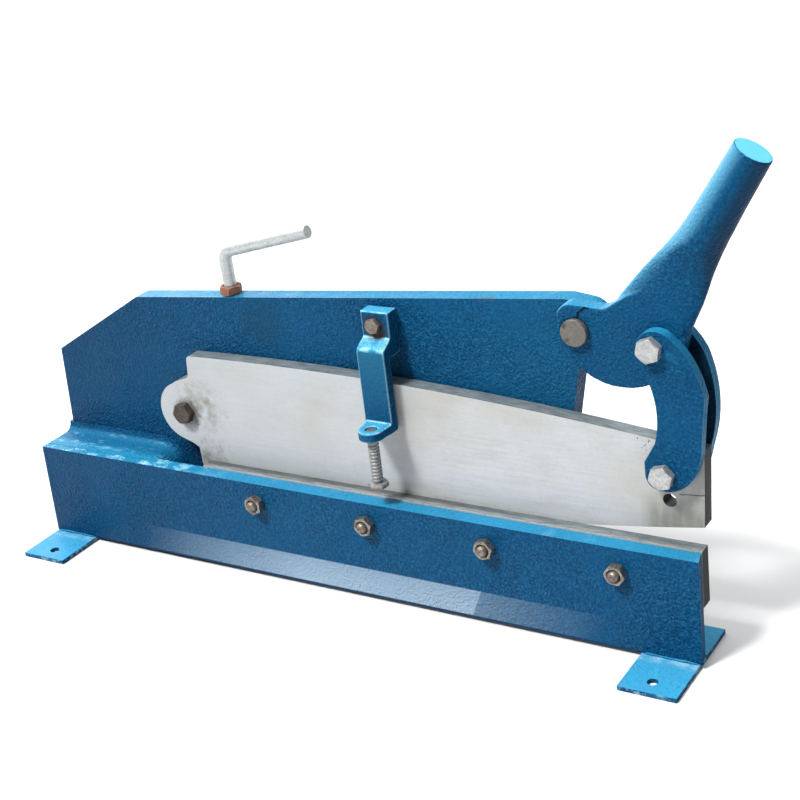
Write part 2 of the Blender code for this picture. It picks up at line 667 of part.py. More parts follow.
def build_split_pin(y, material, parts):
    """A split pin through the lever pin: its head stands above it, its bent tail below it."""
    head = LEVER_PIN_RADIUS + SPLIT_PIN_HEAD_RISE
    bend_start = -LEVER_PIN_RADIUS - SPLIT_PIN_TAIL_DROP
    points = [(0.0, 0.0, head), (0.0, 0.0, bend_start)]
    for index in range(1, 7):
        angle = math.radians(10.0 * index)
        x = SPLIT_PIN_BEND * (1.0 - math.cos(angle))
        z = bend_start - SPLIT_PIN_BEND * math.sin(angle)
        points.append((x, 0.0, z))
    rod = tube_mesh("lever_split_pin", points, SPLIT_PIN_RADIUS, 1)
    item = mesh_object("lever_split_pin", rod, material, parts)
    item.location = place(LEVER_PIVOT[0], y, LEVER_PIVOT[1])
    shade_round(item)


def tube_mesh(name, points, radius, resolution):
    """Mesh of a round rod along a list of points."""
    curve = bpy.data.curves.new(name, "CURVE")
    curve.dimensions = "3D"
    curve.bevel_depth = radius
    curve.bevel_resolution = resolution
    curve.use_fill_caps = True
    spline = curve.splines.new("POLY")
    spline.points.add(len(points) - 1)
    for point, position in zip(spline.points, points):
        point.co = (*position, 1.0)
    return mesh_from_curve(name, curve)


def front_link_outline():
    """Outline of the front link: two bosses, an angular back and a hollow front."""
    outline = link_bottom() + list(FRONT_LINK_BACK)
    outline += arc_through(*FRONT_LINK_SHOULDER, 10)
    return outline + link_front_edge()


def rear_link_outline():
    """Outline of the rear link: as the front one, with a smoothly bowed back."""
    outline = link_bottom() + arc_through(*REAR_LINK_BACK, 16)
    outline += REAR_LINK_SHOULDER
    return outline + link_front_edge()


def link_bottom():
    """The lower boss, which both links share: a tight heel in front and a wide arc behind."""
    outline = [LINK_HEEL_TOP, *arc(LINK_HEEL_CENTRE, LINK_HEEL_RADIUS, 180.0, 256.0, 14)]
    return outline + arc_through(*LINK_BOTTOM, 16)


def link_front_edge():
    """The upper boss and the hollow front edge, which both links share."""
    outline = arc(LINK_TOP_CENTRE, LINK_TOP_RADIUS, 38.0, 190.0, 24)
    return outline + arc_through(*LINK_HOLLOW, 20)


def build_links(paint, zinc, parts, cutters):
    """Two side plates and the two bolts that tie the lever to the upper blade."""
    links = {
        "front_link": (front_link_outline(), FRONT_LINK_FRONT),
        "rear_link": (rear_link_outline(), REAR_LINK_FRONT),
    }
    holes = [circle(pivot, M12[0] + GAP) for pivot in (UPPER_LINK_PIVOT, LOWER_LINK_PIVOT)]
    for name, (outline, front) in links.items():
        upright_slab(name, [outline, *holes], front, front + LINK_THICKNESS, paint, parts,
                     UPPER_LINK_PIVOT)
    seat = FRONT_LINK_FRONT - GAP
    rear = REAR_LINK_FRONT + LINK_THICKNESS + GAP
    length = rear - seat + WASHER_THICKNESS + M12[3] + STUD_END
    for side, pivot in (("upper", UPPER_LINK_PIVOT), ("lower", LOWER_LINK_PIVOT)):
        hex_bolt(f"{side}_link_bolt", M12, pivot, seat, length, zinc, parts, cutters)
        washer(f"{side}_link_washer", M12[0], M12_WASHER_RADIUS, pivot, rear, zinc, parts)
        hex_nut(f"{side}_link_nut", M12, pivot, rear + WASHER_THICKNESS + GAP, zinc, parts)


def bracket_profile():
    """Side profile of the hold-down bracket in YZ: pad on the upright, slope, and arm."""
    pad_rear = UPRIGHT_FRONT - GAP
    return [
        (pad_rear, BRACKET_TOP),
        (PAD_FRONT, BRACKET_TOP),
        (PAD_FRONT, SLOPE_TOP),
        SLOPE_BOTTOM,
        (ARM_FRONT, SLOPE_TOE),
        (ARM_FRONT, EAR_BOTTOM),
        (ARM_REAR, EAR_BOTTOM),
        (ARM_REAR, PAD_BOTTOM),
        (pad_rear, PAD_BOTTOM),
    ]


def bracket_ear_outline():
    """Outline in XY of the ear in front of the arm, about the bracket's middle."""
    half = 0.5 * BRACKET_WIDTH
    shoulder = half - EAR_SHOULDER
    root, neck = ARM_FRONT + EAR_ROOT, ARM_FRONT - CHAMFER
    outline = [(half, root), (shoulder, neck)]
    outline += arc((0.0, HOLD_DOWN_Y), EAR_TIP_RADIUS, 10.0, -190.0, 28)
    return outline + [(-shoulder, neck), (-half, root)]


def build_bracket(paint, rusty, parts, cutters):
    """The hold-down bracket: it steps forward over the blade and ends in a threaded ear."""
    mesh = slab_mesh("hold_down_bracket", [bracket_profile()], BRACKET_WIDTH)
    turn = Matrix(((0.0, 0.0, 1.0), (1.0, 0.0, 0.0), (0.0, 1.0, 0.0))).to_4x4()
    mesh.transform(turn)
    bracket = mesh_object("hold_down_bracket", mesh, paint, parts)
    bracket.location = place(BRACKET_X, 0.0, 0.0)
    mesh = slab_mesh("bracket_ear", [bracket_ear_outline()], EAR_TOP - EAR_BOTTOM)
    ear = mesh_object("bracket_ear", mesh, paint, cutters)
    ear.location = place(BRACKET_X, 0.0, 0.5 * (EAR_TOP + EAR_BOTTOM))
    hide_cutter(ear)
    boolean(bracket, ear, "UNION")
    reach = 2.0 * (UPRIGHT_FRONT - PAD_FRONT + CUTTER_MARGIN)
    bores = {
        "bracket_ear_bore": (M10[0], place(BRACKET_X, HOLD_DOWN_Y, EAR_TOP), 0.0),
        "bracket_bolt_bore": (
            M8[0], place(BRACKET_BOLT[0], UPRIGHT_FRONT, BRACKET_BOLT[1]), math.radians(90.0)
        ),
    }
    for name, (radius, middle, tilt) in bores.items():
        bore = mesh_object(name, cylinder_mesh(name, radius + GAP, reach), paint, cutters)
        bore.rotation_euler = (tilt, 0.0, 0.0)
        bore.location = middle
        hide_cutter(bore)
        boolean(bracket, bore, "DIFFERENCE")
    length = UPRIGHT_REAR - PAD_FRONT + 2.0 * GAP + M8[3] + STUD_END
    hex_bolt("bracket_bolt", M8, BRACKET_BOLT, PAD_FRONT - GAP, length, rusty, parts, cutters)
    hex_nut("bracket_nut", M8, BRACKET_BOLT, UPRIGHT_REAR + GAP, rusty, parts)


def build_hold_down_screw(zinc, parts, cutters):
    """The screw that presses the sheet down: head at the bottom, shank up through the ear."""
    mesh = slab_mesh("hold_down_screw", [hexagon((0.0, 0.0), HOLD_DOWN_FLATS)], HOLD_DOWN_HEAD)
    screw = mesh_object("hold_down_screw", mesh, zinc, parts)
    head_middle = HOLD_DOWN_HEAD_BOTTOM + 0.5 * HOLD_DOWN_HEAD
    screw.location = place(BRACKET_X, HOLD_DOWN_Y, head_middle)
    shank_length = HOLD_DOWN_TOP - head_middle
    shank = mesh_object("hold_down_shank", cylinder_mesh("hold_down_shank", M10[0], shank_length),
                        zinc, cutters)
    shank.location = place(BRACKET_X, HOLD_DOWN_Y, head_middle + 0.5 * shank_length)
    hide_cutter(shank)
    boolean(screw, shank, "UNION")


def lock_screw_points():
    """Centre line of the L-shaped rod: threaded foot, leaning leg, bend and rising arm."""
    top = upright_top(LOCK_X)
    nut_top = LOCK_NUT_LIFT + LOCK_NUT_HEIGHT + GAP
    bend = math.radians(90.0) + LOCK_LEG_LEAN - LOCK_ARM_TILT
    along_leg = Vector((-math.sin(LOCK_LEG_LEAN), 0.0, math.cos(LOCK_LEG_LEAN)))
    inward = Vector((math.cos(LOCK_LEG_LEAN), 0.0, math.sin(LOCK_LEG_LEAN)))
    along_arm = Vector((math.cos(LOCK_ARM_TILT), 0.0, math.sin(LOCK_ARM_TILT)))
    tangent = LOCK_BEND_RADIUS * math.tan(0.5 * bend)
    leg_foot = Vector((0.0, 0.0, nut_top))
    leg_length = LOCK_ELBOW_Z - top - nut_top - tangent
    bend_start = leg_foot + leg_length * along_leg
    points = [Vector((0.0, 0.0, -(LOCK_DEPTH - CLEAR_DEPTH))), leg_foot]
    for index in range(LOCK_BEND_STEPS + 1):
        angle = bend * index / LOCK_BEND_STEPS
        turn = LOCK_BEND_RADIUS * ((1.0 - math.cos(angle)) * inward + math.sin(angle) * along_leg)
        points.append(bend_start + turn)
    points.append(points[-1] + (LOCK_ARM_LENGTH - tangent) * along_arm)
    return points


def build_lock_screw(zinc, rusty, parts):
    """An L-shaped rod screwed down into the upright's top edge, and its lock nut."""
    top = upright_top(LOCK_X)
    outlines = [hexagon((0.0, 0.0), M12[1]), circle((0.0, 0.0), LOCK_RADIUS + GAP)]
    nut = mesh_object("lock_screw_nut", slab_mesh("lock_screw_nut", outlines, LOCK_NUT_HEIGHT),
                      rusty, parts)
    nut.location = place(LOCK_X, LOCK_Y, top + LOCK_NUT_LIFT + 0.5 * LOCK_NUT_HEIGHT)
    shade_round(nut)
    mesh = tube_mesh("lock_screw", lock_screw_points(), LOCK_RADIUS, 5)
    rod = mesh_object("lock_screw", mesh, zinc, parts)
    rod.location = place(LOCK_X, LOCK_Y, top)
    shade_round(rod)


def build():
    """Build the whole shear."""
    clear_scene()
    parts = new_collection("metal_shear")
    cutters = new_collection("metal_shear_cutters")
    paint = new_material("blue_enamel", (0.011, 0.105, 0.262), 0.38, 0.0)
    blade_steel = new_material("ground_blade_steel", (0.60, 0.61, 0.60), 0.42, 0.9)
    zinc = new_material("bright_zinc", (0.62, 0.64, 0.65), 0.32, 0.9)
    bolt_steel = new_material("grey_bolt_steel", (0.30, 0.28, 0.26), 0.45, 0.9)
    dark_steel = new_material("brown_grey_steel", (0.17, 0.15, 0.13), 0.5, 0.8)
    rusty = new_material("rusted_steel", (0.22, 0.075, 0.04), 0.75, 0.3)
    bronze = new_material("bearing_bronze", (0.45, 0.28, 0.12), 0.4, 0.9)
    build_feet(paint, parts)
    build_beam(paint, parts)
    build_web(paint, parts, cutters)
    build_upright(paint, parts, cutters)
    build_lower_blade(blade_steel, bolt_steel, parts, cutters)
    build_upper_blade(blade_steel, bronze, parts)
    build_blade_pivot(dark_steel, parts, cutters)
    build_lever(paint, bronze, parts, cutters)
    build_lever_pin(dark_steel, parts, cutters)
    build_links(paint, zinc, parts, cutters)
    build_bracket(paint, rusty, parts, cutters)
    build_hold_down_screw(zinc, parts, cutters)
    build_lock_screw(zinc, rusty, parts)


build()
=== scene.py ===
"""Looks of the hand-lever bench shear: finished pieces, materials, light and camera.

Lengths are in metres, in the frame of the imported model. X runs along the blades to the lever end,
Y to the rear and Z up. Every place comes from a CAD node's box.
"""

import json
from math import cos, pi, radians, sin, tan

import bmesh
import bpy
from mathutils import Matrix, Vector, noise


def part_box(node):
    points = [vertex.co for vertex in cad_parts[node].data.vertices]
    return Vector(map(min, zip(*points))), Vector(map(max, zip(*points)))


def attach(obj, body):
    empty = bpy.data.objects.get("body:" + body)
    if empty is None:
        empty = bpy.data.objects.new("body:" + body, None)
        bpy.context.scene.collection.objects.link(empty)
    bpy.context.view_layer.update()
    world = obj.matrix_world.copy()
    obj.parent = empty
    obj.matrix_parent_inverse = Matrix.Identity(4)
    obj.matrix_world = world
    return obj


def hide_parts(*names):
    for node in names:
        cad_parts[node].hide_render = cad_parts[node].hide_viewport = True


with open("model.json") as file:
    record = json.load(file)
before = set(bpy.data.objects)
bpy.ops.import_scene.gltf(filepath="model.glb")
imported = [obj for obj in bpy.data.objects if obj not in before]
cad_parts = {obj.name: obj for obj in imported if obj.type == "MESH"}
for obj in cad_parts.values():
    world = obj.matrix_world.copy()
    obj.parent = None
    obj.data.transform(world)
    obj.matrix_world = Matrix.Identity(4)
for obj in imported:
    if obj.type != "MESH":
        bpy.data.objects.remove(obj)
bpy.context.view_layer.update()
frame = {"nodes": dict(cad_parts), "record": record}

MM = 0.001
NODES = frame["nodes"]
RECORD = frame["record"]
BODY_OF = {
    node: body for body, nodes in RECORD["behaviour"]["bodies"].items() for node in nodes
}
SLOT_OF = {part["node"]: part["material_slot"] for part in RECORD["subparts"]}

# Camera: its place in metres, its angles in radians and its focal length in millimetres.
CAMERA_PLACE = (0.724651, -1.010089, 0.718095)
CAMERA_YAW = 0.5875
CAMERA_PITCH = -0.4068
CAMERA_ROLL = -0.1225
CAMERA_LENS = 71.23

FRONT = Vector((0.0, -1.0, 0.0))
REAR = Vector((0.0, 1.0, 0.0))
UP = Vector((0.0, 0.0, 1.0))

# Hexagons: the chamfer's slope, and radii as fractions of the width across flats.
CHAMFER_SLOPE = tan(radians(30.0))
CHAMFER_START = 0.465
DISH_FLOOR = 0.37
DISH_RIM = 0.41

# The lever's round stub leans this far up from X.
STUB_ANGLE = radians(59.0)

# The web's shelf: its flat length, the rounded end beyond it, the fillet at the upright, how far
# it stands above the beam, and how far its sides reach into the beam and the upright.
WEB_FLAT = 122.0 * MM
WEB_ROLL = 26.0 * MM
WEB_DROP = 34.0 * MM
WEB_FILLET = 9.0 * MM
WEB_LIFT = 0.25 * MM
WEB_BURIED = 6.0 * MM
ROLL_STEPS = 14
FILLET_STEPS = 8

# Steps round a turned piece, a thread and a weld bead, and levels in each turn of a thread.
TURN_STEPS = 72
THREAD_STEPS = 36
THREAD_LEVELS = 8
BEAD_STEPS = 12

# Looks of the small CAD parts that are shown as they are.
LOOK_OF_SLOT = {"bright_zinc": "zinc", "brown_grey_steel": "brown", "bearing_bronze": "bronze"}

# Copies of CAD meshes: how close vertices merge, and the angles that count as flat and as an edge.
MERGE_DISTANCE = 0.01 * MM
FLAT_ANGLE = radians(0.1)
EDGE_ANGLE = radians(28.0)

# Painted bars and ground blades: node, look, edge radius in millimetres and bevel segments.
ROUNDED_PIECES = (
    ("front_beam", "beam", 1.0, 3),
    ("upright_plate", "upright", 1.1, 3),
    ("left_foot", "foot", 0.6, 2),
    ("right_foot", "foot", 0.6, 2),
    ("front_link", "plate", 1.9, 4),
    ("rear_link", "plate", 1.9, 4),
    ("upper_blade", "upper_blade", 0.35, 2),
    ("lower_blade", "lower_blade", 0.45, 2),
)

# Cast-looking pieces: node, look, voxel in millimetres and rounds of softening.
SOFTENED_PIECES = (
    ("lever", "lever", 1.0, 9),
    ("hold_down_bracket", "bracket", 0.7, 20),
)

# Clamp bolts and nuts: their radii, the socket's width and depth, and each nut's turn in degrees.
CLAMP_SHANK = 4.75 * MM
CLAMP_NUT_BORE = 5.0 * MM
SOCKET_FLATS = 6.0 * MM
SOCKET_DEPTH = 3.0 * MM
CLAMP_NUT_TURNS = {1: 30.0, 2: 17.0, 3: 12.0, 4: 55.0}

# The domed thread end of a clamp bolt: radius and drop, in millimetres.
DOMED_END = ((0.0, 0.8), (1.1, 0.6), (1.9, 0.0), (3.1, 0.35), (4.2, 1.3))

# Hexagon bolts along Y: node, look, head height, shank radius and dish depth in millimetres,
# and turn in degrees.
HEX_BOLTS = (
    ("blade_pivot_bolt", "brown", 7.5, 6.0, 0.35, 8.0),
    ("upper_link_bolt", "zinc", 7.5, 6.0, 0.3, 20.0),
    ("lower_link_bolt", "zinc", 7.5, 6.0, 0.3, 15.0),
    ("bracket_bolt", "tarnished", 5.0, 4.0, 0.15, 12.0),
)

# Their nuts: node, look, bore radius in millimetres and turn in degrees.
REAR_NUTS = (
    ("blade_pivot_nut", "brown", 6.0, 24.0),
    ("upper_link_nut", "zinc", 6.0, 41.0),
    ("lower_link_nut", "zinc", 6.0, 9.0),
    ("bracket_nut", "rust", 4.0, 33.0),
)

# Lever pin, hold-down screw and locking screw.
PIN_HEAD = 4.8 * MM
PIN_SHANK = 8.0 * MM
SCREW_HEAD = 4.6 * MM
SCREW_TURN = 22.0
THREAD_RADIUS = 5.0 * MM
THREAD_DEPTH = 0.7 * MM
THREAD_PITCH = 3.2 * MM
ROD_ROUNDING = 0.7 * MM
LOCK_NUT_BORE = 6.0 * MM
LOCK_NUT_TURN = -4.0

# Weld beads, and how far apart they are in the noise that shapes their lumps.
BEAD_RADIUS = 1.4 * MM
BEAD_LUMP = 0.7 * MM
BEAD_INSET = 2.0 * MM
BEAD_PITCH = 1.5 * MM
LUMPS_PER_METRE = 300.0
SEED_STEP = 7.0

# Suns: name, the side they come from, spread in degrees and strength.
SUNS = (
    ("overhead", (-0.3, 0.12, 0.95), 70.0, 3.0),
    ("key_left", (-0.27, -0.5, 0.82), 12.0, 5.2),
)

# Soft boxes: name, place, width, height and power in watts.
SOFTBOXES = (
    ("behind", (-0.9, 3.2, 1.5), 5.0, 2.0, 14.0),
    ("left", (-2.6, 1.2, 0.9), 3.0, 1.8, 32.0),
)

# Floor and surround.
FLOOR_REACH = 30.0
FLOOR_DROP = 0.2 * MM
FLOOR_DARKER = (0.56, 0.56, 0.56)
FLOOR_LIGHTER = (0.58, 0.58, 0.58)
WORLD_COLOUR = (0.94, 0.97, 1.0, 1.0)
WORLD_STRENGTH = 0.32


def low(node):
    """Lowest corner of a CAD node."""
    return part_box(node)[0]


def high(node):
    """Highest corner of a CAD node."""
    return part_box(node)[1]


def middle(node):
    """Middle of a CAD node's box."""
    return 0.5 * (low(node) + high(node))


def on_axis(node, y):
    """Point at a depth on the axis of a fastener that lies along Y."""
    return Vector((middle(node).x, y, middle(node).z))


# ---- shader helper


def opaque(colour):
    """A colour with its alpha; a node's output stays as it is."""
    return (*colour, 1.0) if isinstance(colour, tuple) else colour


class Shader:
    """Builds a Principled material node by node, in object coordinates."""

    def __init__(self, name):
        self.material = bpy.data.materials.new(name)
        self.material.use_nodes = True
        self.tree = self.material.node_tree
        self.principled = self.tree.nodes["Principled BSDF"]
        texture = self.tree.nodes.new("ShaderNodeTexCoord")
        self.coords = texture.outputs["Object"]
        self.x, self.y, self.z = self.parts(self.coords)
        self.facing_x, self.facing_y, self.facing_z = self.parts(texture.outputs["Normal"])

    def node(self, kind, inputs, **settings):
        """Add a node; each input is a value or another node's output."""
        node = self.tree.nodes.new(kind)
        for key, value in settings.items():
            setattr(node, key, value)
        for key, value in inputs.items():
            if isinstance(value, bpy.types.NodeSocket):
                self.tree.links.new(value, node.inputs[key])
            else:
                node.inputs[key].default_value = value
        return node

    def parts(self, vector):
        """The three parts of a vector output."""
        return self.node("ShaderNodeSeparateXYZ", {0: vector}).outputs

    def set(self, **values):
        """Set sockets of the Principled shader by name, with _ for a space."""
        for key, value in values.items():
            self.principled.inputs[key.replace("_", " ")].default_value = value

    def feed(self, socket, source):
        """Link an output to a socket of the Principled shader."""
        self.tree.links.new(source, self.principled.inputs[socket])

    def noise(self, scale, detail=3.0, roughness=0.5, vector=None):
        """Noise round 0.5; scale is in features per metre."""
        inputs = {
            "Vector": vector or self.coords,
            "Scale": scale,
            "Detail": detail,
            "Roughness": roughness,
        }
        return self.node("ShaderNodeTexNoise", inputs).outputs["Fac"]

    def grain(self, scales, detail, roughness):
        """Noise with its own number of features per metre along each axis."""
        inputs = {"Vector": self.coords, "Scale": scales}
        stretched = self.node("ShaderNodeMapping", inputs).outputs["Vector"]
        return self.noise(1.0, detail, roughness, stretched)

    def cells(self, scale):
        """Smooth distance to scattered points, 0 at each point."""
        inputs = {"Vector": self.coords, "Scale": scale, "Smoothness": 0.6}
        return self.node("ShaderNodeTexVoronoi", inputs, feature="SMOOTH_F1").outputs["Distance"]

    def ramp(self, value, start, end, first=0.0, last=1.0):
        """Turn start..end into first..last, clamped."""
        inputs = {0: value, 1: start, 2: end, 3: first, 4: last}
        return self.node("ShaderNodeMapRange", inputs, clamp=True).outputs["Result"]

    def fall(self, value, start, end, most=1.0):
        """Turn start..end into most..0, clamped."""
        return self.ramp(value, start, end, most, 0.0)

    def spots(self, scale, start, end, most=1.0):
        """Detailed noise cut into spots, 0..most."""
        return self.ramp(self.noise(scale, 5.0, 0.7), start, end, 0.0, most)

    def math(self, operation, first, second=0.0):
        """One arithmetic step."""
        return self.node("ShaderNodeMath", {0: first, 1: second}, operation=operation).outputs[0]

    def vector_math(self, operation, *values):
        """One arithmetic step on vectors."""
        inputs = dict(enumerate(values))
        return self.node("ShaderNodeVectorMath", inputs, operation=operation).outputs

    def minus(self, first, second):
        """Difference of two values."""
        return self.math("SUBTRACT", first, second)

    def times(self, *masks):
        """Product of masks."""
        result = masks[0]
        for mask in masks[1:]:
            result = self.math("MULTIPLY", result, mask)
        return result

    def either(self, *masks):
        """The largest of several masks."""
        result = masks[0]
        for mask in masks[1:]:
            result = self.math("MAXIMUM", result, mask)
        return result

    def mix(self, factor, first, second):
        """Mix two colours by a factor."""
        inputs = {0: factor, 6: opaque(first), 7: opaque(second)}
        return self.node("ShaderNodeMix", inputs, data_type="RGBA").outputs[2]

    def paint(self, colour, *masks):
        """Lay a colour over the rest where all the masks say so."""
        self.colour = self.mix(self.times(*masks), self.colour, colour)

    def bump(self, height, distance, strength=1.0, normal=None):
        """A bump normal; distance is in metres."""
        inputs = {"Height": height, "Distance": distance, "Strength": strength}
        if normal is not None:
            inputs["Normal"] = normal
        return self.node("ShaderNodeBump", inputs).outputs["Normal"]

    def window(self, value, start, end, soft):
        """1 between two limits, with soft edges."""
        rise = self.ramp(value, start - soft, start + soft)
        return self.times(rise, self.fall(value, end - soft, end + soft))

    def near(self, point, inner, outer, ragged=0.0, squash=(1.0, 1.0, 1.0)):
        """1 within the inner distance of a point, 0 beyond the outer one; both in millimetres."""
        offset = self.vector_math("SUBTRACT", self.coords, tuple(point))["Vector"]
        offset = self.vector_math("MULTIPLY", offset, squash)["Vector"]
        distance = self.vector_math("LENGTH", offset)["Value"]
        if ragged:
            rough = self.noise(260.0, 4.0, 0.65)
            shift = self.ramp(rough, 0.3, 0.7, -ragged * MM, ragged * MM)
            distance = self.math("ADD", distance, shift)
        return self.fall(distance, inner * MM, outer * MM)

    def stroke(self, start, end, width, ragged):
        """1 on a line between two (X, Z) points, whatever Y is."""
        run = (end[0] - start[0], end[1] - start[1])
        square = run[0] ** 2 + run[1] ** 2
        wander = self.ramp(self.noise(330.0, 3.0, 0.6), 0.3, 0.7, -ragged, ragged)
        across_x = self.minus(self.math("ADD", self.x, wander), start[0])
        across_z = self.minus(self.minus(self.z, wander), start[1])
        along_x = self.times(across_x, run[0] / square)
        along_z = self.times(across_z, run[1] / square)
        along = self.ramp(self.math("ADD", along_x, along_z), 0.0, 1.0)
        gap_x = self.minus(across_x, self.times(along, run[0]))
        gap_z = self.minus(across_z, self.times(along, run[1]))
        square_gap = self.math("ADD", self.times(gap_x, gap_x), self.times(gap_z, gap_z))
        return self.fall(self.math("SQRT", square_gap), 0.4 * width, width)


# ---- materials


# Enamel, worn paint, grime, rust, and painted light and shade, as linear red, green and blue.
BLUE = (0.002, 0.048, 0.12)
LIGHTER_BLUE = (0.0032, 0.0575, 0.14)
DEEP_BLUE = (0.001, 0.022, 0.066)
LIT_CREST_BLUE = (0.02, 0.13, 0.27)
PAINTED_LIGHT_BLUE = (0.016, 0.205, 0.365)
DUSTY_BLUE = (0.2, 0.38, 0.5)
WORN_AND_HIGHLIGHT_BLUE = (0.29, 0.56, 0.68)
DARK_GRIME = (0.01, 0.048, 0.09)
GRIME = (0.026, 0.022, 0.018)
RUST = (0.13, 0.048, 0.022)
DARK_RUST = (0.04, 0.026, 0.02)
LIT_RIM_BLUE = (0.012, 0.135, 0.26)
GAP_SHADE_BLUE = (0.0008, 0.006, 0.014)
LIT_RIGHT_BLUE = (0.006, 0.08, 0.17)
POCKET_SHADOW_BLUE = (0.004, 0.02, 0.056)
STAIN_BLUE = (0.006, 0.03, 0.05)
REFLECTION_BLUE = (0.24, 0.33, 0.42)
LIT_FOOT_BLUE = (0.042, 0.275, 0.46)
SCUFF_BLUE = (0.05, 0.19, 0.34)
WELD_HAZE = (0.25, 0.4, 0.5)
LIT_BLUE = (0.085, 0.3, 0.45)
SHADED_BLUE = (0.01, 0.026, 0.056)
LIT_STUB_END_BLUE = (0.095, 0.42, 0.64)
CRACK_BLACK = (0.004, 0.01, 0.016)
LIT_BODY_BLUE = (0.014, 0.104, 0.185)
LIT_SLOPE_BLUE = (0.018, 0.22, 0.38)

# Enamel gloss, and the small chips of links and web as arguments of spots.
ENAMEL_IOR = 1.21
ENAMEL_GLOSS_TINT = (0.3, 0.75, 1.0, 1.0)
SMALL_CHIPS = (38.0, 0.735, 0.75)

# Steel, oil, rust, dirt and painted shadow.
BLADE_GREY = (0.385, 0.405, 0.42)
BLADE_BRIGHT = (0.45, 0.464, 0.475)
BLADE_WARM = (0.37, 0.36, 0.33)
BLADE_CREAM = (0.345, 0.33, 0.29)
GRAIN_BROWN = (0.3, 0.288, 0.255)
SPECK_GREY = (0.32, 0.318, 0.305)
COOL_GREY = (0.33, 0.352, 0.37)
SCALE_DARK = (0.105, 0.135, 0.15)
SCALE_PALE = (0.235, 0.265, 0.275)
SCALE_SPOT = (0.045, 0.045, 0.043)
END_BLACK = (0.04, 0.04, 0.04)
MARK_AND_SHADE_BLACK = (0.03, 0.026, 0.02)
OIL = (0.16, 0.15, 0.108)
BOLT_SHADOW = (0.06, 0.055, 0.042)
EDGE_BROWN = (0.225, 0.19, 0.125)
CORNER_OIL = (0.145, 0.143, 0.115)
GREASE = (0.15, 0.14, 0.112)
CREAM = (0.29, 0.265, 0.215)
CREAM_DIRT = (0.15, 0.12, 0.08)
SCREW_DULL = (0.22, 0.23, 0.23)
SCREW_ZINC = (0.34, 0.35, 0.352)
THREAD_DARK = (0.06, 0.05, 0.042)
SCREW_RUST = (0.135, 0.085, 0.052)
PIN_DARK = (0.105, 0.098, 0.089)
PIN_BRIGHT = (0.165, 0.156, 0.143)
PIN_RUST = (0.085, 0.05, 0.036)

# Fastener metals: look, name, bright, dark and stain colours, then the most stain, the
# roughness and the metallic share.
METALS = (
    ("grey", "grey_steel", (0.42, 0.39, 0.36), (0.17, 0.15, 0.13), (0.12, 0.075, 0.045),
     0.7, 0.34, 0.9),
    ("brown", "brown_steel", (0.09, 0.078, 0.067), (0.04, 0.033, 0.028), (0.08, 0.04, 0.022),
     0.6, 0.46, 0.6),
    ("tarnished", "tarnished_steel", (0.27, 0.245, 0.215), (0.12, 0.104, 0.088), (0.13, 0.065, 0.035),
     0.55, 0.42, 0.7),
    ("zinc", "bright_zinc", (0.5, 0.515, 0.515), (0.34, 0.35, 0.35), (0.28, 0.25, 0.21),
     0.45, 0.36, 0.7),
    ("rod", "bright_rod", (0.53, 0.56, 0.555), (0.37, 0.39, 0.39), (0.27, 0.25, 0.22),
     0.35, 0.38, 0.6),
    ("rust", "rusted_steel", (0.25, 0.115, 0.075), (0.11, 0.05, 0.035), (0.3, 0.115, 0.05),
     0.8, 0.62, 0.25),
    ("bronze", "bearing_bronze", (0.55, 0.37, 0.18), (0.36, 0.23, 0.11), (0.2, 0.14, 0.08),
     0.4, 0.38, 0.9),
)


class Enamel(Shader):
    """Blue enamel over a rough skin, painted darker in the hollows and lighter on the crests of its
    peel as shade and light, and lighter on top as painted top light; the caller adds its own marks
    and then closes it.
    """

    def __init__(self, name, depth, mottle=1.0):
        super().__init__(name)
        self.depth = depth
        cloud = self.ramp(self.noise(9.0, 4.0, 0.6), 0.3, 0.7)
        self.colour = self.mix(cloud, BLUE, LIGHTER_BLUE)
        peel = self.noise(500.0, 3.0, 0.55)
        rough_area = self.ramp(self.noise(11.0, 3.0, 0.6), 0.38, 0.62, 0.45, 1.0)
        lumps = self.math("ADD", peel, self.times(self.cells(370.0), 0.5))
        self.height = self.times(lumps, rough_area)
        # Painted shade in the hollows of the peel and painted light on its crests, following the
        # bump.
        pits = self.fall(peel, 0.36, 0.52, mottle)
        lit_crests = self.ramp(peel, 0.54, 0.68, 0.0, 0.6 * mottle)
        self.paint(DEEP_BLUE, pits, rough_area)
        self.paint(LIT_CREST_BLUE, lit_crests, rough_area)
        self.up = self.ramp(self.facing_z, 0.5, 0.9)
        self.front = self.fall(self.facing_y, -0.9, -0.75)
        # Painted top light: faces that look up are painted a lighter sky blue.
        self.paint(PAINTED_LIGHT_BLUE, self.up, 0.75)
        self.paint(DUSTY_BLUE, self.spots(45.0, 0.55, 0.75, 0.3), self.up)

    def worn_and_lit_edges(self, most, least=0.53, colour=PAINTED_LIGHT_BLUE):
        """Lighten the sharpest convex edges: thin, worn paint there, and a painted highlight."""
        shape = self.tree.nodes.new("ShaderNodeNewGeometry").outputs["Pointiness"]
        self.paint(colour, self.ramp(shape, least, least + 0.06, 0.0, most))

    def paint_left_shade(self, start, reach):
        """Paint shade on the front towards the left end, from a place on X over a reach."""
        shade = self.fall(self.x, start, start + reach, 0.55)
        self.paint(DEEP_BLUE, shade, self.front)

    def close(self, rust):
        """Lay the rust, then set gloss and bump."""
        rust_colour = self.mix(self.spots(700.0, 0.4, 0.65), RUST, DARK_RUST)
        self.feed("Base Color", self.mix(rust, self.colour, rust_colour))
        gloss = self.ramp(self.noise(70.0, 4.0, 0.6), 0.3, 0.7, 0.26, 0.42)
        self.feed("Roughness", self.either(gloss, self.times(rust, 0.85)))
        wave = self.bump(self.noise(26.0, 2.0, 0.5), 1.2 * MM, 0.5)
        self.feed("Normal", self.bump(self.height, self.depth, 1.0, wave))
        self.feed("Specular IOR Level", self.ramp(self.facing_x, 0.3, 0.8, 0.5, 0.1))
        self.set(IOR=ENAMEL_IOR, Specular_Tint=ENAMEL_GLOSS_TINT)
        return self.material


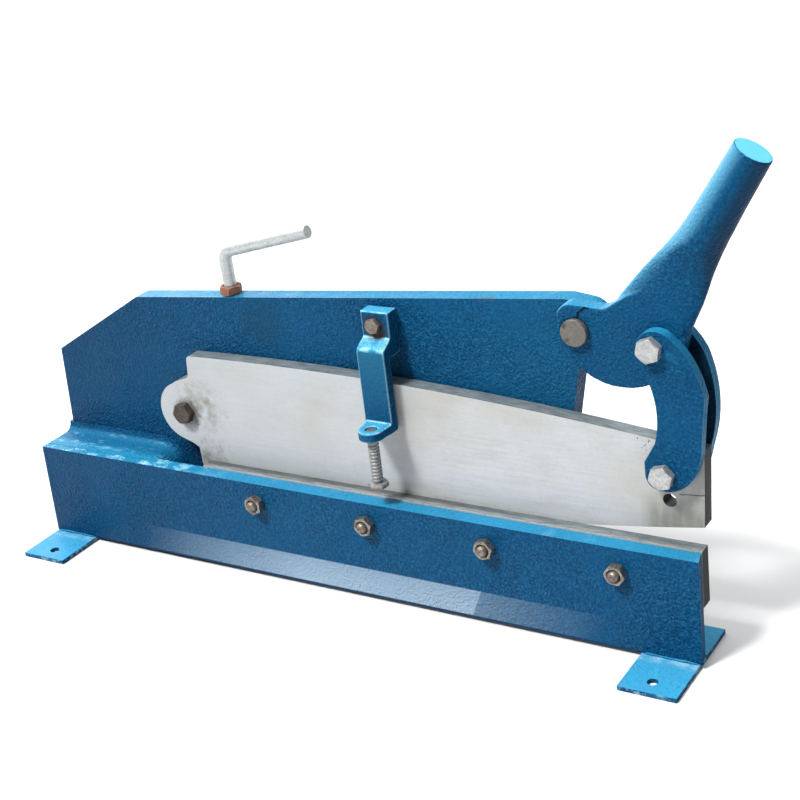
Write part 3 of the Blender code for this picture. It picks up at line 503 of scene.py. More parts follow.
def plate_enamel():
    """Enamel of the links, with painted light on the rim and painted shade in the gap between the
    links.
    """
    coat = Enamel("blue_enamel_plate", 1.6 * MM, 0.7)
    coat.worn_and_lit_edges(0.6)
    # Painted light on the faces that look along +X.
    rim = coat.ramp(coat.facing_x, 0.35, 0.85, 0.0, 0.7)
    coat.paint(LIT_RIM_BLUE, rim)
    # Painted shade on the front faces behind the front link, in the gap between the links.
    behind = coat.ramp(coat.y, high("front_link").y, high("front_link").y + 2.0 * MM, 0.0, 0.85)
    coat.paint(GAP_SHADE_BLUE, behind, coat.front)
    return coat.close(coat.spots(*SMALL_CHIPS))


def web_enamel():
    """The web's enamel: bright along the beam with worn spots on top, and painted shade that darkens
    the top towards the upright.
    """
    coat = Enamel("blue_enamel_web", 1.3 * MM, 0.7)
    joint = high("front_beam").y
    # Painted shade on the top, growing towards the upright.
    shade = coat.ramp(coat.y, joint - 1.0 * MM, joint + 11.0 * MM, 0.0, 0.65)
    coat.paint(LIGHTER_BLUE, coat.up, shade)
    worn = coat.grain((40.0, 130.0, 130.0), 5.0, 0.65)
    coat.paint(WORN_AND_HIGHLIGHT_BLUE, coat.up, coat.ramp(worn, 0.56, 0.72, 0.0, 0.5))
    return coat.close(coat.spots(*SMALL_CHIPS))


def upright_enamel():
    """The upright's enamel, with a rusty nick on its top edge, darker round the blade pivot, painted
    shade to the left and painted light to the right, and a painted shadow of the blade by the web's
    hollow end.
    """
    coat = Enamel("blue_enamel_upright", 2.2 * MM)
    coat.paint_left_shade(low("upright_plate").x, 260.0 * MM)
    # Painted light: the front is lighter towards the right end.
    right = coat.ramp(coat.x, middle("bracket_bolt").x, high("upright_plate").x, 0.0, 0.8)
    coat.paint(LIT_RIGHT_BLUE, right, coat.front, 0.6)
    nick_place = (
        middle("bracket_bolt").x + 98.0 * MM,
        low("upright_plate").y,
        high("upright_plate").z - 4.5 * MM,
    )
    nick = coat.near(nick_place, 2.0, 5.0, 2.0, (0.35, 1.0, 1.6))
    # Darker round the blade pivot.
    grime = coat.near(middle("blade_pivot_bush"), 30.0, 44.0, 4.0)
    coat.paint(DARK_GRIME, grime, 0.45)
    # Painted shadow of the blade on the upright by the web's hollow end, with dark ridges.
    pocket_place = (low("web_block").x + 168.0 * MM, low("upright_plate").y, high("front_beam").z)
    pocket_shadow = coat.near(pocket_place, 12.0, 38.0, 4.0)
    ripple = coat.grain((190.0, 20.0, 14.0), 3.0, 0.5)
    ridges = coat.ramp(ripple, 0.4, 0.6, 0.45, 0.85)
    coat.paint(POCKET_SHADOW_BLUE, pocket_shadow, ridges)
    screw = middle("lock_screw")
    stain_place = (screw.x - 8.0 * MM, low("upright_plate").y, high("upright_plate").z - 51.0 * MM)
    stain = coat.near(stain_place, 6.0, 34.0, 10.0)
    coat.paint(STAIN_BLUE, stain, 0.45)
    return coat.close(coat.times(nick, 0.7))


def beam_enamel():
    """The beam's enamel, with a painted reflection as a lighter band along its foot, painted shade
    towards its left end, and chips on its top edge.
    """
    coat = Enamel("blue_enamel_beam", 1.8 * MM, 0.9)
    start = low("front_beam")
    coat.paint_left_shade(start.x, 260.0 * MM)
    # Painted reflection: a lighter band along the foot of the front face, with a sharp slanted end.
    height = coat.window(coat.z, start.z + 1.5 * MM, start.z + 27.0 * MM, 0.4 * MM)
    slanted = coat.math("ADD", coat.x, coat.times(coat.z, -0.4))
    split = start.x + 476.5 * MM
    strong = coat.times(
        coat.ramp(slanted, start.x + 110.0 * MM, start.x + 300.0 * MM),
        coat.fall(slanted, split - 0.3 * MM, split + 0.3 * MM),
    )
    weak = coat.times(
        coat.ramp(slanted, split - 0.3 * MM, split + 0.3 * MM, 0.0, 0.42),
        coat.fall(slanted, split, split + 120.0 * MM),
    )
    fade = coat.ramp(coat.z, start.z, start.z + 27.0 * MM, 0.95, 0.72)
    band = coat.times(coat.front, height, coat.math("ADD", strong, weak), fade)
    coat.paint(REFLECTION_BLUE, band)
    lowest = coat.fall(coat.z, start.z + 1.2 * MM, start.z + 2.0 * MM, 0.8)
    coat.paint(DEEP_BLUE, coat.front, lowest)
    shelf = coat.fall(coat.x, start.x + 150.0 * MM, start.x + 230.0 * MM)
    coat.paint(WORN_AND_HIGHLIGHT_BLUE, coat.up, shelf, coat.spots(70.0, 0.5, 0.62, 0.8))
    dirt_and_shade = coat.times(coat.up, coat.spots(120.0, 0.66, 0.72, 0.7))
    coat.paint(DARK_GRIME, dirt_and_shade)
    return coat.close(coat.times(coat.up, coat.spots(90.0, 0.76, 0.8, 0.5)))


def foot_enamel():
    """The feet's enamel: thin, dusty and scuffed, lighter on top as painted top light, with specks of
    weld spatter near the beam.
    """
    coat = Enamel("blue_enamel_foot", 0.6 * MM)
    # Painted top light on the feet's upper faces.
    coat.paint(LIT_FOOT_BLUE, coat.up, 0.55)
    coat.paint(SCUFF_BLUE, coat.spots(75.0, 0.5, 0.66, 0.45))
    coat.paint(LIGHTER_BLUE, coat.up, coat.spots(260.0, 0.56, 0.66, 0.45))
    rim = coat.fall(coat.facing_z, 0.3, 0.8)
    coat.paint(DUSTY_BLUE, rim, coat.spots(190.0, 0.52, 0.6, 0.75))
    beam = low("front_beam").y
    seam = coat.window(coat.y, beam - 9.0 * MM, beam + 1.0 * MM, 3.0 * MM)
    haze = coat.ramp(coat.noise(90.0, 4.0, 0.6), 0.4, 0.6, 0.1, 0.6)
    coat.paint(WELD_HAZE, seam, haze)
    return coat.close(coat.times(seam, coat.spots(240.0, 0.55, 0.65, 0.3)))


def lever_enamel():
    """The lever's enamel, with painted light on its left side and stub end, painted shade on the
    stub's right side, a cracked flake of paint above the pin and grime round it.
    """
    coat = Enamel("blue_enamel_lever", 2.0 * MM, 0.8)
    coat.worn_and_lit_edges(0.5)
    # Painted light on faces that look left, and painted shade on the right side of the stub.
    side = coat.times(coat.facing_x, -1.0)
    lit = coat.times(coat.ramp(side, -0.05, 0.8), coat.ramp(coat.facing_z, -0.02, 0.2))
    coat.paint(LIT_BLUE, lit, 0.9)
    root = high("lever").z - 125.0 * MM
    stub = coat.ramp(coat.z, root, root + 30.0 * MM)
    shaded = coat.times(stub, coat.ramp(coat.facing_x, 0.1, 0.75, 0.0, 0.8))
    coat.paint(SHADED_BLUE, shaded)
    # Painted light on the end face of the stub.
    across = coat.times(coat.facing_x, cos(STUB_ANGLE))
    lifted = coat.times(coat.facing_z, sin(STUB_ANGLE))
    stub_end = coat.ramp(coat.math("ADD", across, lifted), 0.88, 0.97)
    coat.paint(LIT_STUB_END_BLUE, stub_end)
    coat.height = coat.times(coat.height, coat.ramp(stub_end, 0.0, 1.0, 1.0, 0.2))
    pin = middle("lever_pin")
    rim = high("lever_pin").z
    corner = (pin.x + 5.0 * MM, rim + 7.0 * MM)
    first = coat.stroke((pin.x + 1.5 * MM, rim - 1.0 * MM), corner, 0.9 * MM, 0.7 * MM)
    end = (pin.x + 12.0 * MM, rim + 9.5 * MM)
    second = coat.stroke(corner, end, 1.0 * MM, 0.8 * MM)
    crack = coat.times(coat.either(first, second), coat.front)
    coat.height = coat.minus(coat.height, coat.times(crack, 2.5))
    grime = coat.near(pin, 13.0, 22.0, 3.0)
    coat.paint(DARK_GRIME, grime, 0.5)
    coat.paint(CRACK_BLACK, crack)
    rust_place = (pin.x - 9.0 * MM, low("lever").y, pin.z + 7.0 * MM)
    rust = coat.near(rust_place, 3.5, 6.0, 2.5)
    return coat.close(coat.times(rust, 0.3))


def bracket_enamel():
    """The bracket's thick enamel, with painted light on its upper front, its edges and its slopes,
    and rust run down from its bolt.
    """
    coat = Enamel("blue_enamel_bracket", 1.2 * MM, 0.6)
    bolt = middle("bracket_bolt")
    pad_front = low("bracket_bolt").y + 5.0 * MM
    # Painted light: the front of the body is lighter towards its top.
    body = coat.times(
        coat.ramp(coat.z, bolt.z - 72.0 * MM, bolt.z - 22.0 * MM, 0.1, 0.75),
        coat.fall(coat.z, bolt.z - 20.0 * MM, bolt.z - 14.0 * MM),
    )
    coat.paint(LIT_BODY_BLUE, coat.front, body)
    coat.worn_and_lit_edges(0.95, 0.508, WORN_AND_HIGHLIGHT_BLUE)
    # Painted light on the slopes, with worn spots that also serve as painted highlights.
    slopes = coat.ramp(coat.facing_z, 0.15, 0.55)
    coat.paint(LIT_SLOPE_BLUE, slopes, 0.85)
    tilted = coat.times(slopes, coat.ramp(coat.facing_z, 0.78, 0.92, 1.0, 0.12))
    coat.paint(WORN_AND_HIGHLIGHT_BLUE, tilted, coat.spots(150.0, 0.4, 0.56, 0.9))
    pad = (bolt.x, pad_front, bolt.z - 3.0 * MM)
    grime = coat.near(pad, 9.0, 13.5, 3.5)
    coat.paint(GRIME, grime, coat.front, coat.spots(210.0, 0.3, 0.52, 0.95))
    root = (bolt.x + 1.0 * MM, pad_front, bolt.z - 10.5 * MM)
    run = coat.near(root, 1.5, 6.5, 2.5, (0.7, 1.0, 1.0))
    slope_place = (bolt.x + 2.0 * MM, pad_front - 5.0 * MM, bolt.z - 14.0 * MM)
    slope = coat.near(slope_place, 3.0, 11.0, 3.0)
    drops = coat.times(slope, coat.spots(330.0, 0.6, 0.66, 0.7))
    return coat.close(coat.either(coat.times(run, 0.7), drops))


class BladeSteel(Shader):
    """Ground tool steel with streaks along the blade and dark scale on its edges."""

    def __init__(self, name):
        super().__init__(name)
        self.streaks = self.grain((11.0, 200.0, 420.0), 6.0, 0.62)
        streak_mask = self.ramp(self.streaks, 0.32, 0.68)
        self.colour = self.mix(streak_mask, BLADE_GREY, BLADE_BRIGHT)
        cloud = self.ramp(self.noise(13.0, 5.0, 0.6), 0.42, 0.7, 0.0, 0.75)
        self.paint(BLADE_WARM, cloud)
        broad = self.ramp(self.noise(6.0, 5.0, 0.6), 0.5, 0.72, 0.0, 0.55)
        self.paint(BLADE_CREAM, broad)
        grain = self.grain((30.0, 90.0, 95.0), 6.0, 0.75)
        self.paint(GRAIN_BROWN, self.ramp(grain, 0.5, 0.72, 0.0, 0.42))
        self.paint(SPECK_GREY, self.ramp(self.noise(330.0, 4.0, 0.7), 0.52, 0.72, 0.0, 0.4))
        start = low("upper_blade").x
        left = self.fall(self.x, start, start + 300.0 * MM, 0.55)
        self.paint(COOL_GREY, left)
        self.front = self.fall(self.facing_y, -0.9, -0.7)
        self.scale = self.fall(self.math("ABSOLUTE", self.facing_y), 0.55, 0.8)

    def close(self, dark):
        """Lay the scale, then the dark marks and painted shade that the caller passes in, then set
        gloss and bump.
        """
        scuffs = self.grain((60.0, 260.0, 160.0), 6.0, 0.65)
        scuff_mask = self.ramp(scuffs, 0.35, 0.65)
        scale_colour = self.mix(scuff_mask, SCALE_DARK, SCALE_PALE)
        scale_colour = self.mix(self.spots(160.0, 0.6, 0.72, 0.8), scale_colour, SCALE_SPOT)
        self.paint(scale_colour, self.scale)
        end = self.ramp(self.facing_x, 0.4, 0.8)
        self.paint(END_BLACK, end)
        self.paint(MARK_AND_SHADE_BLACK, dark)
        self.feed("Base Color", self.colour)
        matt = self.ramp(self.streaks, 0.2, 0.8, 0.42, 0.58)
        self.feed("Roughness", self.either(matt, self.times(self.scale, 0.55)))
        metallic = self.ramp(self.scale, 0.0, 1.0, 0.3, 0.55)
        dull = self.ramp(end, 0.0, 1.0, 1.0, 0.05)
        self.feed("Metallic", self.times(metallic, dull))
        self.feed("Specular IOR Level", self.times(dull, 0.5))
        scratches = self.grain((26.0, 500.0, 2200.0), 4.0, 0.6)
        fine = self.bump(scratches, 0.06 * MM, 0.5)
        pitting = self.times(self.scale, self.noise(420.0, 4.0, 0.6))
        self.feed("Normal", self.bump(pitting, 0.35 * MM, 0.7, fine))
        return self.material


def upper_blade_steel():
    """The moving blade: oil stains at the pivot and the cutting edge, a painted shadow round the
    pivot bolt, and a scratched seam.
    """
    steel = BladeSteel("ground_steel_upper")
    start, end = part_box("upper_blade")
    pivot, bolt = middle("blade_pivot_bush"), middle("lower_link_bolt")
    blot = steel.ramp(steel.noise(62.0, 5.0, 0.68), 0.42, 0.64, 0.0, 0.8)
    beside = (pivot.x + 20.0 * MM, start.y, pivot.z + 7.0 * MM)
    below = (pivot.x + 23.0 * MM, start.y, start.z + 17.0 * MM)
    oil = steel.either(steel.near(beside, 8.0, 34.0, 9.0), steel.near(below, 4.0, 26.0, 9.0))
    steel.paint(OIL, oil, blot)
    # Painted shadow of the pivot bolt's head: a dark ring set off to the right and down.
    bolt_shadow_place = (pivot.x + 2.0 * MM, start.y, pivot.z - 1.5 * MM)
    rim = steel.times(steel.near(bolt_shadow_place, 11.0, 17.0, 2.5), steel.front)
    steel.paint(BOLT_SHADOW, rim, 0.7)
    edge_line = steel.times(
        steel.fall(steel.z, start.z + 6.0 * MM, start.z + 17.0 * MM, 0.75),
        steel.ramp(steel.x, start.x + 150.0 * MM, start.x + 260.0 * MM),
        steel.ramp(steel.noise(48.0, 6.0, 0.72), 0.45, 0.6),
    )
    steel.paint(EDGE_BROWN, edge_line, steel.front)
    smear = steel.grain((120.0, 120.0, 26.0), 5.0, 0.65)
    corner = steel.times(
        steel.window(steel.x, end.x - 50.0 * MM, end.x + 9.0 * MM, 7.0 * MM),
        steel.fall(steel.z, start.z + 34.0 * MM, start.z + 62.0 * MM, 0.85),
        steel.ramp(smear, 0.22, 0.58, 0.45, 1.0),
    )
    steel.paint(CORNER_OIL, corner, steel.front)
    grease_place = (bolt.x + 22.0 * MM, start.y, bolt.z - 2.0 * MM)
    grease = steel.near(grease_place, 10.0, 34.0, 8.0)
    steel.paint(GREASE, grease, 0.55)
    seam_start = (bolt.x + 9.0 * MM, bolt.z - 20.0 * MM)
    seam_end = (end.x + 2.0 * MM, bolt.z - 17.5 * MM)
    seam = steel.stroke(seam_start, seam_end, 0.75 * MM, 0.25 * MM)
    pits_place = (bolt.x - 20.0 * MM, start.y, bolt.z + 21.0 * MM)
    pits = steel.times(
        steel.near(pits_place, 4.0, 11.0, 3.0),
        steel.ramp(steel.noise(420.0, 3.0, 0.6), 0.6, 0.64),
    )
    marks = steel.either(steel.times(seam, 0.8), steel.times(pits, 0.9))
    return steel.close(steel.times(steel.front, marks))


def lower_blade_steel():
    """The fixed blade: dark scale with a worn cream line along its front edge, and a painted shadow
    of the upper blade on the rear of its top.
    """
    steel = BladeSteel("ground_steel_lower")
    start = low("lower_blade")
    wander = steel.ramp(steel.noise(95.0, 5.0, 0.65), 0.3, 0.7, -1.0 * MM, 1.0 * MM)
    edge = steel.math("ADD", steel.y, wander)
    worn = steel.times(
        steel.fall(edge, start.y + 0.9 * MM, start.y + 2.0 * MM),
        steel.ramp(steel.facing_z, 0.3, 0.5),
    )
    cream = steel.mix(steel.spots(230.0, 0.45, 0.65), CREAM, CREAM_DIRT)
    steel.paint(cream, worn)
    steel.scale = steel.times(steel.scale, steel.minus(1.0, worn))
    # Painted shadow of the upper blade on the rear of the top, weaker towards the right.
    dirt_and_shade = steel.times(
        steel.ramp(steel.y, start.y + 4.5 * MM, start.y + 7.5 * MM, 0.0, 0.62),
        steel.ramp(steel.facing_z, 0.3, 0.5),
        steel.ramp(steel.x, start.x + 260.0 * MM, start.x + 400.0 * MM, 1.0, 0.2),
    )
    return steel.close(steel.either(dirt_and_shade, steel.spots(150.0, 0.66, 0.7, 0.8)))


def fastener_metal(name, bright, dark, stain, stained, roughness, metallic):
    """Bolt metal: mottled, stained and slightly scratched."""
    shader = Shader(name)
    mottle = shader.noise(420.0, 4.0, 0.6)
    patch = shader.noise(170.0, 5.0, 0.7)
    colour = shader.mix(shader.ramp(mottle, 0.35, 0.68), dark, bright)
    colour = shader.mix(shader.ramp(patch, 0.46, 0.64, 0.0, stained), colour, stain)
    shader.feed("Base Color", colour)
    shader.feed("Roughness", shader.ramp(patch, 0.3, 0.7, roughness - 0.06, roughness + 0.18))
    shader.set(Metallic=metallic)
    shader.feed("Normal", shader.bump(shader.noise(900.0, 4.0, 0.6), 0.1 * MM, 0.7))
    return shader.material


def screw_metal():
    """The hold-down screw: dull zinc, darker down in its thread, and rust under its head."""
    shader = Shader("dull_zinc")
    axis = middle("hold_down_screw")
    beside = shader.minus(shader.x, axis.x)
    before = shader.minus(shader.y, axis.y)
    square = shader.math("ADD", shader.times(beside, beside), shader.times(before, before))
    reach = shader.math("SQRT", square)
    mottle = shader.ramp(shader.noise(420.0, 4.0, 0.6), 0.35, 0.68)
    colour = shader.mix(mottle, SCREW_DULL, SCREW_ZINC)
    # Darker down in the thread.
    groove = shader.fall(reach, 4.15 * MM, 4.7 * MM, 0.6)
    colour = shader.mix(groove, colour, THREAD_DARK)
    foot = low("hold_down_screw").z
    under = shader.fall(shader.z, foot + 1.0 * MM, foot + 3.4 * MM, 0.85)
    rust = shader.either(under, shader.spots(170.0, 0.56, 0.66, 0.5))
    shader.feed("Base Color", shader.mix(rust, colour, SCREW_RUST))
    shader.set(Roughness=0.46, Metallic=0.6)
    shader.feed("Normal", shader.bump(shader.noise(900.0, 4.0, 0.6), 0.1 * MM, 0.7))
    return shader.material


def pin_metal():
    """The lever pin: a brown-grey sawn face with rust on its rim."""
    shader = Shader("brown_steel_pin")
    place = on_axis("lever_pin", low("lever_pin").y)
    marks = shader.grain((240.0, 240.0, 900.0), 5.0, 0.65)
    colour = shader.mix(shader.ramp(marks, 0.35, 0.65), PIN_DARK, PIN_BRIGHT)
    upper_spot = place + Vector((-7.5, 0.0, 5.5)) * MM
    lower_spot = place + Vector((-5.5, 0.0, -6.5)) * MM
    rust = shader.either(
        shader.near(upper_spot, 0.8, 3.0, 1.4),
        shader.near(lower_spot, 0.4, 3.0, 1.6),
        shader.spots(300.0, 0.64, 0.72, 0.5),
    )
    shader.feed("Base Color", shader.mix(rust, colour, PIN_RUST))
    shader.feed("Roughness", shader.ramp(marks, 0.3, 0.7, 0.42, 0.6))
    shader.set(Metallic=0.55)
    shader.feed("Normal", shader.bump(marks, 0.12 * MM, 0.8))
    return shader.material


# ---- mesh helpers


def add_object(name, data):
    """A new object in the scene."""
    item = bpy.data.objects.new(name, data)
    bpy.context.scene.collection.objects.link(item)
    return item


def link_mesh(name, shape):
    """Turn a bmesh into an object in the scene."""
    bmesh.ops.recalc_face_normals(shape, faces=shape.faces)
    mesh = bpy.data.meshes.new(name)
    shape.to_mesh(mesh)
    shape.free()
    return add_object(name, mesh)


def dress(item, material, node, stands_for=True, angle=35.0):
    """Give a piece its material, smooth shading and body, and hide the CAD node it stands for unless
    told not to.
    """
    item.data.materials.clear()
    item.data.materials.append(material)
    item.data.shade_smooth()
    item.data.set_sharp_from_angle(angle=radians(angle))
    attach(item, BODY_OF[node])
    if stands_for:
        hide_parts(node)


def clean_copy(node):
    """A welded copy of a CAD node's mesh, with its flat regions dissolved."""
    shape = bmesh.new()
    shape.from_mesh(NODES[node].data)
    bmesh.ops.remove_doubles(shape, verts=shape.verts, dist=MERGE_DISTANCE)
    bmesh.ops.dissolve_limit(shape, angle_limit=FLAT_ANGLE, verts=shape.verts, edges=shape.edges)
    return link_mesh(node + "_finish", shape)


def rounded(node, width, material, segments):
    """Stand a copy with rounded edges in for a CAD node."""
    item = clean_copy(node)
    dress(item, material, node, angle=60.0)
    bevel = item.modifiers.new("Rounding", "BEVEL")
    bevel.width = width
    bevel.segments = segments
    bevel.limit_method = "ANGLE"
    bevel.angle_limit = EDGE_ANGLE


def softened(node, voxel, rounds, material):
    """Stand a cast-looking copy in for a CAD node: remeshed, with all its edges softened."""
    item = clean_copy(node)
    dress(item, material, node, angle=80.0)
    remesh = item.modifiers.new("Skin", "REMESH")
    remesh.mode = "VOXEL"
    remesh.voxel_size = voxel
    remesh.use_smooth_shade = True
    smooth = item.modifiers.new("Softening", "SMOOTH")
    smooth.factor = 0.5
    smooth.iterations = rounds


def spin(name, section, closed=False):
    """Turn a section round Z. section(angle) lists (radius, height); radius 0 is a pole."""
    shape = bmesh.new()
    rings = []
    for step in range(TURN_STEPS):
        angle = 2.0 * pi * step / TURN_STEPS
        ring = []
        for index, (radius, height) in enumerate(section(angle)):
            if radius == 0.0 and rings:
                ring.append(rings[0][index])
            else:
                x, y = radius * cos(angle), radius * sin(angle)
                ring.append(shape.verts.new((x, y, height)))
        rings.append(ring)
    last = len(rings[0]) if closed else len(rings[0]) - 1
    for step in range(TURN_STEPS):
        ring, following = rings[step], rings[(step + 1) % TURN_STEPS]
        for index in range(last):
            after = (index + 1) % len(ring)
            corners = [ring[index], ring[after], following[after], following[index]]
            shape.faces.new(list(dict.fromkeys(corners)))
    return link_mesh(name, shape)


def stand(item, place, direction, turn=0.0):
    """Put a turned piece at a place with its Z axis along a direction, turned in degrees."""
    rotation = direction.to_track_quat("Z", "Y").to_matrix().to_4x4()
    own_turn = Matrix.Rotation(radians(turn), 4, "Z")
    item.data.transform(Matrix.Translation(place) @ rotation @ own_turn)


def hex_reach(flats, angle):
    """Distance from a hexagon's middle to its rim at an angle."""
    sixth = radians(60.0)
    return 0.5 * flats / cos((angle % sixth) - 0.5 * sixth)


def hex_rim(flats, angle):
    """Radius of a chamfered face's flat disc, the corner radius and the chamfer's drop."""
    disc = CHAMFER_START * flats
    corner = hex_reach(flats, angle)
    return disc, corner, (corner - disc) * CHAMFER_SLOPE


def bolt_section(flats, head, radius, length, dish):
    """Section of a hexagon bolt: head above the origin, shank below it."""
    def section(angle):
        disc, corner, drop = hex_rim(flats, angle)
        return [
            (0.0, head - dish),
            (DISH_FLOOR * flats, head - dish),
            (DISH_RIM * flats, head),
            (disc, head),
            (corner, head - drop),
            (corner, 0.0),
            (radius, 0.0),
            (radius, 0.8 * MM - length),
            (radius - 0.8 * MM, -length),
            (0.0, -length),
        ]
    return section


def nut_section(flats, height, radius):
    """Section of a hexagon nut from its seat up, with a countersunk thread mouth."""
    def section(angle):
        disc, corner, drop = hex_rim(flats, angle)
        return [
            (radius + 0.15 * MM, 0.0),
            (radius + 0.15 * MM, height - 1.3 * MM),
            (radius + 1.35 * MM, height),
            (disc, height),
            (corner, height - drop),
            (corner, drop),
            (disc, 0.0),
        ]
    return section


def countersunk_section(length, head):
    """Section of a countersunk bolt from its domed thread end down to its hexagon socket."""
    def section(angle):
        key = hex_reach(SOCKET_FLATS, angle)
        return [(radius * MM, drop * MM) for radius, drop in DOMED_END] + [
            (CLAMP_SHANK, 2.6 * MM),
            (CLAMP_SHANK, length - 5.5 * MM),
            (head - 0.2 * MM, length - 0.3 * MM),
            (head - 0.5 * MM, length),
            (key, length),
            (key, length - SOCKET_DEPTH),
            (0.0, length - SOCKET_DEPTH),
        ]
    return section


def thread_mesh(name, length):
    """A screw thread along Z from 0 to length, with both ends run out."""
    shape = bmesh.new()
    levels = int(length / THREAD_PITCH * THREAD_LEVELS)
    rings = []
    for level in range(levels + 1):
        height = length * level / levels
        ends = min(1.0, height / THREAD_PITCH, (length - height) / THREAD_PITCH)
        ring = []
        for step in range(THREAD_STEPS):
            phase = (height / THREAD_PITCH - step / THREAD_STEPS) % 1.0
            ridge = min(1.0, max(0.0, 1.5 - 4.0 * abs(phase - 0.5)))
            reach = THREAD_RADIUS - THREAD_DEPTH + THREAD_DEPTH * ridge * ends
            angle = 2.0 * pi * step / THREAD_STEPS
            ring.append(shape.verts.new((reach * cos(angle), reach * sin(angle), height)))
        rings.append(ring)
    bridge(shape, rings)
    return link_mesh(name, shape)


def bridge(shape, rings):
    """Join rings of vertices into a closed tube."""
    around = len(rings[0])
    for first, second in zip(rings, rings[1:]):
        for step in range(around):
            after = (step + 1) % around
            shape.faces.new((first[step], first[after], second[after], second[step]))
    shape.faces.new(rings[0])
    shape.faces.new(rings[-1])


def bead_mesh(name, start, end, seed):
    """A lumpy weld bead along a straight seam."""
    shape = bmesh.new()
    start, end = Vector(start), Vector(end)
    count = max(6, int((end - start).length / BEAD_PITCH))
    along = (end - start).normalized()
    side = along.orthogonal().normalized()
    top = side.cross(along)
    rings = []
    for index in range(count + 1):
        point = start.lerp(end, index / count)
        taper = min(1.0, 0.35 + 0.33 * min(index, count - index))
        ring = []
        for step in range(BEAD_STEPS):
            angle = 2.0 * pi * step / BEAD_STEPS
            outward = cos(angle) * side + sin(angle) * top
            spot = point + BEAD_RADIUS * outward
            swell = BEAD_LUMP * noise.noise(LUMPS_PER_METRE * spot + Vector((seed, 0.0, 0.0)))
            ring.append(shape.verts.new(point + taper * (BEAD_RADIUS + swell) * outward))
        rings.append(ring)
    bridge(shape, rings)
    return link_mesh(name, shape)


# ---- pieces


def build_plates(look):
    """Painted bars and plates with rounded edges, and the two blades."""
    for node, name, radius, segments in ROUNDED_PIECES:
        rounded(node, radius * MM, look[name], segments)
    build_web(look["web"])
    for node, name, voxel, rounds in SOFTENED_PIECES:
        softened(node, voxel * MM, rounds, look[name])


def build_web(material):
    """The web between beam and upright: a filleted shelf that rolls over at its hollow end."""
    start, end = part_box("web_block")
    shelf = high("front_beam").z + WEB_LIFT
    stations = [(start.x, 0.0)]
    for step in range(ROLL_STEPS + 1):
        angle = 0.5 * pi * step / ROLL_STEPS
        along = start.x + WEB_FLAT + WEB_ROLL * sin(angle)
        stations.append((along, WEB_DROP * (1.0 - cos(angle))))
    stations.append((end.x, WEB_DROP))
    shape = bmesh.new()
    rings = []
    for along, drop in stations:
        top = shelf - drop
        front, rear = start.y - WEB_BURIED, end.y + WEB_BURIED
        profile = [(front, top), (front, start.z), (rear, start.z), (rear, top + WEB_FILLET)]
        for step in range(FILLET_STEPS + 1):
            angle = 0.5 * pi * step / FILLET_STEPS
            across = end.y - WEB_FILLET * (1.0 - cos(angle))
            profile.append((across, top + WEB_FILLET * (1.0 - sin(angle))))
        rings.append([shape.verts.new((along, across, height)) for across, height in profile])
    bridge(shape, rings)
    dress(link_mesh("web_block_finish", shape), material, "web_block", angle=60.0)


def build_welds(look):
    """Painted weld beads where the feet meet the beam and where the web meets the beam."""
    beam_low, beam_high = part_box("front_beam")
    left, right = high("left_foot"), low("right_foot")
    foot_top = left.z
    web_end = low("web_block").x + 0.5 * MM
    foot_seams = (
        ("left_front_bead", beam_low.x, left.x, beam_low.y),
        ("right_front_bead", right.x, beam_high.x, beam_low.y),
        ("right_rear_bead", right.x, beam_high.x, beam_high.y),
    )
    seams = {
        name: ((first + BEAD_INSET, y, foot_top), (last - BEAD_INSET, y, foot_top))
        for name, first, last, y in foot_seams
    }
    seams["web_front_bead"] = (
        (web_end, beam_high.y, foot_top + 6.0 * MM),
        (web_end, beam_high.y, beam_high.z - 3.0 * MM),
    )
    for seed, (name, (start, end)) in enumerate(seams.items()):
        item = bead_mesh(name, start, end, SEED_STEP * seed)
        dress(item, look["plate"], "front_beam", stands_for=False, angle=80.0)


def build_nut(node, material, radius, turn, direction):
    """A chamfered nut that points along a direction, in place of a CAD nut along Y."""
    start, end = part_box(node)
    seat = start.y if direction is REAR else end.y
    section = nut_section(end.x - start.x, end.y - start.y, radius)
    item = spin(node + "_finish", section, closed=True)
    stand(item, on_axis(node, seat), direction, turn)
    dress(item, material, node)


def build_clamp_bolts(look):
    """Countersunk bolts of the lower blade, with domed thread ends and chamfered nuts."""
    for number, turn in CLAMP_NUT_TURNS.items():
        bolt = f"clamp_bolt_{number}"
        start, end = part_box(bolt)
        section = countersunk_section(end.y - start.y, 0.5 * (end.x - start.x))
        item = spin(bolt + "_finish", section)
        stand(item, on_axis(bolt, start.y), REAR)
        dress(item, look["tarnished"], bolt)
        build_nut(f"clamp_nut_{number}", look["grey"], CLAMP_NUT_BORE, turn, FRONT)


def build_hex_bolt(node, material, head, radius, turn, dish):
    """A chamfered hexagon bolt along Y in place of a CAD bolt."""
    start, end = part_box(node)
    length = end.y - start.y - head
    item = spin(node + "_finish", bolt_section(end.x - start.x, head, radius, length, dish))
    stand(item, on_axis(node, start.y + head), FRONT, turn)
    dress(item, material, node)


def build_pivot_fasteners(look):
    """Bolts and nuts of the blade pivot, the links and the bracket."""
    for node, name, head, radius, dish, turn in HEX_BOLTS:
        build_hex_bolt(node, look[name], head * MM, radius * MM, turn, dish * MM)
    for node, name, radius, turn in REAR_NUTS:
        build_nut(node, look[name], radius * MM, turn, REAR)


